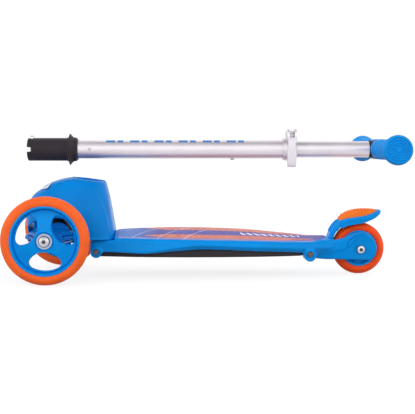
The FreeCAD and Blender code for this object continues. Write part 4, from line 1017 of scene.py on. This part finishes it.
moulded("BrakePad", pad_field, [438, -20, 80], [501, 20, 104], 0.6, pad_rubber.material, "brake",
        slot="orange_rubber", replaces=["brake_tread_pad"])


# ---------------------------------------------------------------- grips and plug

GRIP_BORE, FLANGE_START, GRIP_START, RIBS_START, RIBS_END, RIB_PITCH = 11, 10, 21.4, 30, 114, 4.6
RIB_LOW, RIB_HIGH = 14.7, 15.35
END_RINGS = (18.2, 14.6, 11.0, 7.4)


def handle(name, side, node):
    """A ribbed grip with a flange at the T-joint and a wide, ringed end."""
    end, sunk = HALF_BAR, HALF_BAR - 1.1
    corners = [(GRIP_BORE, GRIP_START, 0.1), (13.4, GRIP_START, 0.3), (13.4, FLANGE_START, 0.3),
               (15.6, FLANGE_START, 1), (15.6, 26.5, 1), (RIB_LOW, 28.2, 0.6)]
    for start in np.arange(RIBS_START, RIBS_END, RIB_PITCH):
        corners += [(RIB_LOW, start, 0.5), (RIB_HIGH, start + 0.7, 0.5), (RIB_HIGH, start + 2.6, 0.5),
                    (RIB_LOW, start + 3.3, 0.5)]
    corners += [(14.9, end - 28, 4), (16.6, end - 20, 6), (19.6, end - 12.4, 5), (21.5, end - 8, 2),
                (21.6, end - 4.8, 1.8), (20.4, end - 2, 1.6)]
    for radius in END_RINGS:
        corners += [(radius + 1.0, sunk, 0.3), (radius + 0.5, end, 0.3), (radius - 0.5, end, 0.3),
                    (radius - 1.0, sunk, 0.3)]
    corners += [(4.6, sunk, 0.3), (3.8, end, 0.3), (0, end, 0), (0, end - 6, 0), (GRIP_BORE, end - 6, 0.1)]
    turned(name, rounded_profile(corners, 4), (BAR_X, 0, COLUMN_Z), (0, side, 0), grip_rubber.material,
           "upper_column", 120, slot="blue_grip", replaces=[node], sharp=50)


handle("LeftGrip", -1, "left_grip")
handle("RightGrip", 1, "right_grip")


# ---------------------------------------------------------------- plug, clamp and T-joint

# The plug's radius by place, past the end of its straight part
PLUG_OUTSIDE = curve((-200, 17.4), (-3.2, 17.5), (-2.6, 18.2), (-1.4, 18.4), (-0.2, 19.2), (0.9, 23.2),
                     (1.6, 24), (2.4, 23.7), (4.2, 21.3), (6, 19.6), (8, 18.4), (9, 18.2), (9.6, 18.3),
                     (11.2, 18.2), (12, 17.2), (14, 15.4))
COLLAR_END, SPIGOT_END, SPIGOT_RADIUS = 14, 50, 12.6
PLUG_HOLLOW, PLUG_BORE, BUTTON_HOLE, RIVET_PLACE, RIVET_HOLE = 12, 7, 4.2, 32, 2.6
NOTCH_DEPTH, NOTCH_HALF = 6.4, 3.4


def round_x(y, z):
    """Distance from the column's axis."""
    return np.sqrt(y * y + (z - COLUMN_Z) ** 2)


def plug_field(x, y, z):
    around, past, height = round_x(y, z), x - PLUG_BACK, z - COLUMN_Z
    head = common((around - PLUG_OUTSIDE(past)) * 0.75, past - COLLAR_END, 0.6)
    spigot = common(common(around - SPIGOT_RADIUS, past - SPIGOT_END, 1), COLLAR_END - 2 - past, 1)
    solid = join(common(head, PLUG_TIP - x, 2.6), spigot, 0.5)
    solid = carve(solid, common(around - PLUG_HOLLOW, past + 8, 0.5), 0.8)
    solid = carve(solid, around - PLUG_BORE, 0.5)
    solid = carve(solid, common(x - PLUG_TIP - NOTCH_DEPTH, np.abs(height) - NOTCH_HALF, 1), 0.8)
    flute = np.abs(np.abs(np.arctan2(height, y)) - 1.2) * around - 0.5
    solid = carve(solid, common(common(flute, 16.9 - around, 0.4), past + 4, 1), 0.4)
    hole = np.sqrt((x - BUTTON_X) ** 2 + y * y) - BUTTON_HOLE
    solid = carve(solid, common(hole, -height, 0.5), 0.5)
    return carve(solid, np.sqrt((past - RIVET_PLACE) ** 2 + height ** 2) - RIVET_HOLE, 0.2)


moulded("StemPlug", plug_field, [PLUG_TIP - 2, -26, COLUMN_Z - 26], [PLUG_BACK + 52, 26, COLUMN_Z + 26], 0.8,
        black_plastic.material, "lower_column", slot="black_plastic", replaces=["stem_plug"])

# The lever, seen along the column: its blade, and its half width by height
LEVER_BLADE = smooth_loop([
    (-26, 214), (-26.9, 205), (-25.6, 190), (-23.6, 178), (-20, 168.6), (-16.6, 166.2), (-15.4, 168.2),
    (-17.8, 176), (-20.8, 184), (-21.8, 194), (-20.4, 205), (-17, 210)])
LEVER_HALF = curve((160, 6.2), (170, 6.7), (182, 7.3), (192, 6.8), (200, 6.1), (207, 6.9), (214, 7.5),
                   (226, 7.5))
CAM_RADIUS, CAM_BORE, LEVER_INSIDE, FORK_HALF = 9.98, 4.1, 7.35, 3.65
COLLAR_RADIUS, COLLAR_HALF, TUBE_FIT, CLAMP_BOLT_HOLE = 17.5, 7.5, 14.02, 3.05
NECK_RADIUS, NECK_HALF, EAR_HALF, SPLIT_HALF = 17, 6.25, 7, 1.2


def lever_field(x, y, z):
    cam, aside = np.sqrt((y - LEVER_Y) ** 2 + (z - LEVER_Z) ** 2), np.abs(x - CLAMP_X)
    side = join(outline_field(LEVER_BLADE, y, z), cam - CAM_RADIUS, 3)
    solid = carve(common(side, aside - LEVER_HALF(z), 1.8), cam - CAM_BORE, 0.5)
    above = common(LEVER_Z - 3.3 - z, LEVER_Y - 12 - y, 0.5)
    ahead = common(np.abs(z - LEVER_Z + 6) - 6, LEVER_Y - y, 0.5)
    solid = carve(solid, common(aside - FORK_HALF, np.minimum(above, ahead), 0.8), 0.8)
    return common(solid, y + LEVER_INSIDE, 0.5)


moulded("ClampLever", lever_field, [CLAMP_X - 9, -29, 163], [CLAMP_X + 9, -6, 226], 0.55, cast_metal.material,
        "clamp_lever", slot="lever_metal", replaces=["clamp_lever"])


def collar_field(x, y, z):
    around, aside = round_x(y, z), np.abs(x - CLAMP_X)
    band = common(around - COLLAR_RADIUS, aside - COLLAR_HALF, 1.6)
    neck = common(around - NECK_RADIUS, np.abs(x - CLAMP_X + NECK_HALF) - NECK_HALF, 1)
    ears = common(common(np.abs(y) - EAR_HALF, aside - COLLAR_HALF, 1.2),
                  np.abs(z - (COLUMN_Z + 12 + LEVER_Z + 7) / 2) - (LEVER_Z - 5 - COLUMN_Z) / 2, 1.6)
    solid = join(join(band, neck, 1), ears, 2)
    solid = carve(solid, around - TUBE_FIT, 0.4)
    solid = carve(solid, common(np.abs(y) - SPLIT_HALF, COLUMN_Z + 5 - z, 0.3), 0.4)
    return carve(solid, np.sqrt(aside ** 2 + (z - LEVER_Z) ** 2) - CLAMP_BOLT_HOLE, 0.3)


moulded("ClampCollar", collar_field, [CLAMP_X - 14, -19, COLUMN_Z - 19], [CLAMP_X + 9, 19, LEVER_Z + 9], 0.6,
        aluminium.material, "lower_column", slot="aluminium", replaces=["clamp_collar"])


CROSS_RADIUS, CROSS_HALF, CROSS_BORE = 13.2, 21, 11.03
STUB_RADIUS, STUB_START, STUB_HALF, STUB_BORE, STUB_DEPTH = 13.4, 16.5, 8, 12.54, 13.9
T_BOLT_HOLE = 2.55


def t_field(x, y, z):
    around, past = round_x(y, z), x - BAR_X
    from_bar = np.sqrt(past ** 2 + (z - COLUMN_Z) ** 2)
    cross = common(from_bar - CROSS_RADIUS, np.abs(y) - CROSS_HALF, 0.8)
    stub = common(around - STUB_RADIUS, np.abs(past + STUB_START - STUB_HALF) - STUB_HALF, 1)
    solid = carve(join(cross, stub, 2), from_bar - CROSS_BORE, 0.3)
    solid = carve(solid, common(around - STUB_BORE, past + STUB_DEPTH, 0.3), 0.3)
    return carve(solid, common(around - T_BOLT_HOLE, -20 - past, 0.3), 0.3)


moulded("TJoint", t_field, [BAR_X - 19, -22, COLUMN_Z - 16], [BAR_X + 15, 22, COLUMN_Z + 16], 0.7,
        black_plastic.material, "upper_column", slot="black_plastic", replaces=["t_joint"])


# ---------------------------------------------------------------- the picture

# The world's levels, halved because a ramp stops at one, and made up for by its strength.
# FRONT_LEVELS go from straight down (0) to straight up (1). SIDE_SHARES say how much of the far
# side's even WHITE_LEVEL there is, from the near side (0) to the far side (1).
FRONT_LEVELS = ((0.0, 0.78), (0.5, 0.86), (0.60, 0.84), (0.68, 0.92), (0.78, 0.8), (0.90, 0.2), (1.0, 0.15))
SIDE_SHARES = ((0.0, 0.0), (0.25, 0.0), (0.62, 1.0), (1.0, 1.0))
WHITE_LEVEL, WORLD_STRENGTH = 0.51, 2.0
FLOOR_HALF = 6
# How brightly the floor glows: at all, more when mirrored, and more when seen directly
FLOOR_GLOW, FLOOR_GLOW_MIRRORED, FLOOR_GLOW_SEEN = 0.12, 0.75, 0.68
LENS, SENSOR = 88.62, 36
CAMERA_ALONG, CAMERA_ACROSS, CAMERA_UP = 0.189, -1.5787, 0.208
CAMERA_DOWN, CAMERA_TURN = 3.776, -1.694


def lamp(name, place, aim, size, power):
    light = bpy.data.lights.new(name, "AREA")
    light.shape = "RECTANGLE"
    light.size, light.size_y = size
    light.energy = power
    item = bpy.data.objects.new(name, light)
    bpy.context.scene.collection.objects.link(item)
    item.location = place
    item.rotation_euler = (Vector(aim) - Vector(place)).to_track_quat("-Z", "Y").to_euler()


def studio_light():
    """White behind and above, a bright strip over the front, and a greyer front wall."""
    world = bpy.data.worlds.new("Studio")
    world.use_nodes = True
    tree = world.node_tree
    tree.nodes.clear()

    def add(kind, **properties):
        item = tree.nodes.new(kind)
        for key, value in properties.items():
            setattr(item, key, value)
        return item

    def feed(item, socket, value):
        if isinstance(value, bpy.types.NodeSocket):
            tree.links.new(value, item.inputs[socket])
        else:
            item.inputs[socket].default_value = value

    def ramp(value, pairs):
        item = add("ShaderNodeValToRGB")
        feed(item, 0, value)
        band = item.color_ramp.elements
        band[0].color = (pairs[0][1],) * 3 + (1,)
        band[1].color = (pairs[-1][1],) * 3 + (1,)
        for place, level in pairs[1:-1]:
            band.new(place).color = (level, level, level, 1)
        return item.outputs[0]

    split = add("ShaderNodeSeparateXYZ")
    feed(split, 0, add("ShaderNodeTexCoord").outputs["Generated"])
    forward, up = split.outputs[1], split.outputs[2]
    height = add("ShaderNodeMath", operation="MULTIPLY_ADD")
    for socket, value in enumerate((up, 0.5, 0.5)):
        feed(height, socket, value)
    front = ramp(height.outputs[0], FRONT_LEVELS)
    behind = ramp(forward, SIDE_SHARES)
    mix = add("ShaderNodeMix", data_type="RGBA")
    feed(mix, 0, behind)
    feed(mix, 6, front)
    feed(mix, 7, (WHITE_LEVEL, WHITE_LEVEL, WHITE_LEVEL, 1))
    background = add("ShaderNodeBackground")
    feed(background, 0, mix.outputs[2])
    feed(background, 1, WORLD_STRENGTH)
    tree.links.new(background.outputs[0], add("ShaderNodeOutputWorld").inputs[0])
    bpy.context.scene.world = world


def studio():
    floor_mesh = bpy.data.meshes.new("Floor")
    corners = [(x * FLOOR_HALF, y * FLOOR_HALF, 0) for x, y in ((-1, -1), (1, -1), (1, 1), (-1, 1))]
    floor_mesh.from_pydata(corners, [], [(0, 1, 2, 3)])
    floor = bpy.data.objects.new("Floor", floor_mesh)
    bpy.context.scene.collection.objects.link(floor)
    paint = Finish("FloorPaint", Roughness=0.9, Specular_IOR_Level=0.0, Emission_Color=(1, 1, 1, 1))
    clouds = paint.remap(paint.noise(3, 3), 0.3, 0.7, 0, 1)
    paint.set("Base Color", paint.blend(clouds, (138, 138, 140), (142, 142, 143)))
    path = paint.add("ShaderNodeLightPath")
    mirrored = paint.maths("MULTIPLY_ADD", path.outputs["Is Glossy Ray"], FLOOR_GLOW_MIRRORED, FLOOR_GLOW)
    glow = paint.maths("MULTIPLY_ADD", path.outputs["Is Camera Ray"], FLOOR_GLOW_SEEN, mirrored)
    paint.set("Emission Strength", glow)
    floor_mesh.materials.append(paint.material)
    studio_light()
    bpy.context.scene.view_settings.view_transform = "Standard"
    lamp("Key", (-0.3, -1.3, 2.2), (0, 0.1, 0.1), (1.8, 1.2), 3)
    lamp("Rear", (0.2, 1.4, 2.0), (0, 0, 0.1), (2.4, 1.2), 5)


def camera():
    eye = bpy.data.cameras.new("Camera")
    eye.lens = LENS
    eye.sensor_width = SENSOR
    eye.clip_start = 0.05
    item = bpy.data.objects.new("Camera", eye)
    bpy.context.scene.collection.objects.link(item)
    item.location = (AXLE_X + CAMERA_ALONG, CAMERA_ACROSS, CAMERA_UP)
    item.rotation_euler = (math.radians(90 - CAMERA_DOWN), 0, math.radians(CAMERA_TURN))
    bpy.context.scene.camera = item


studio()
camera()
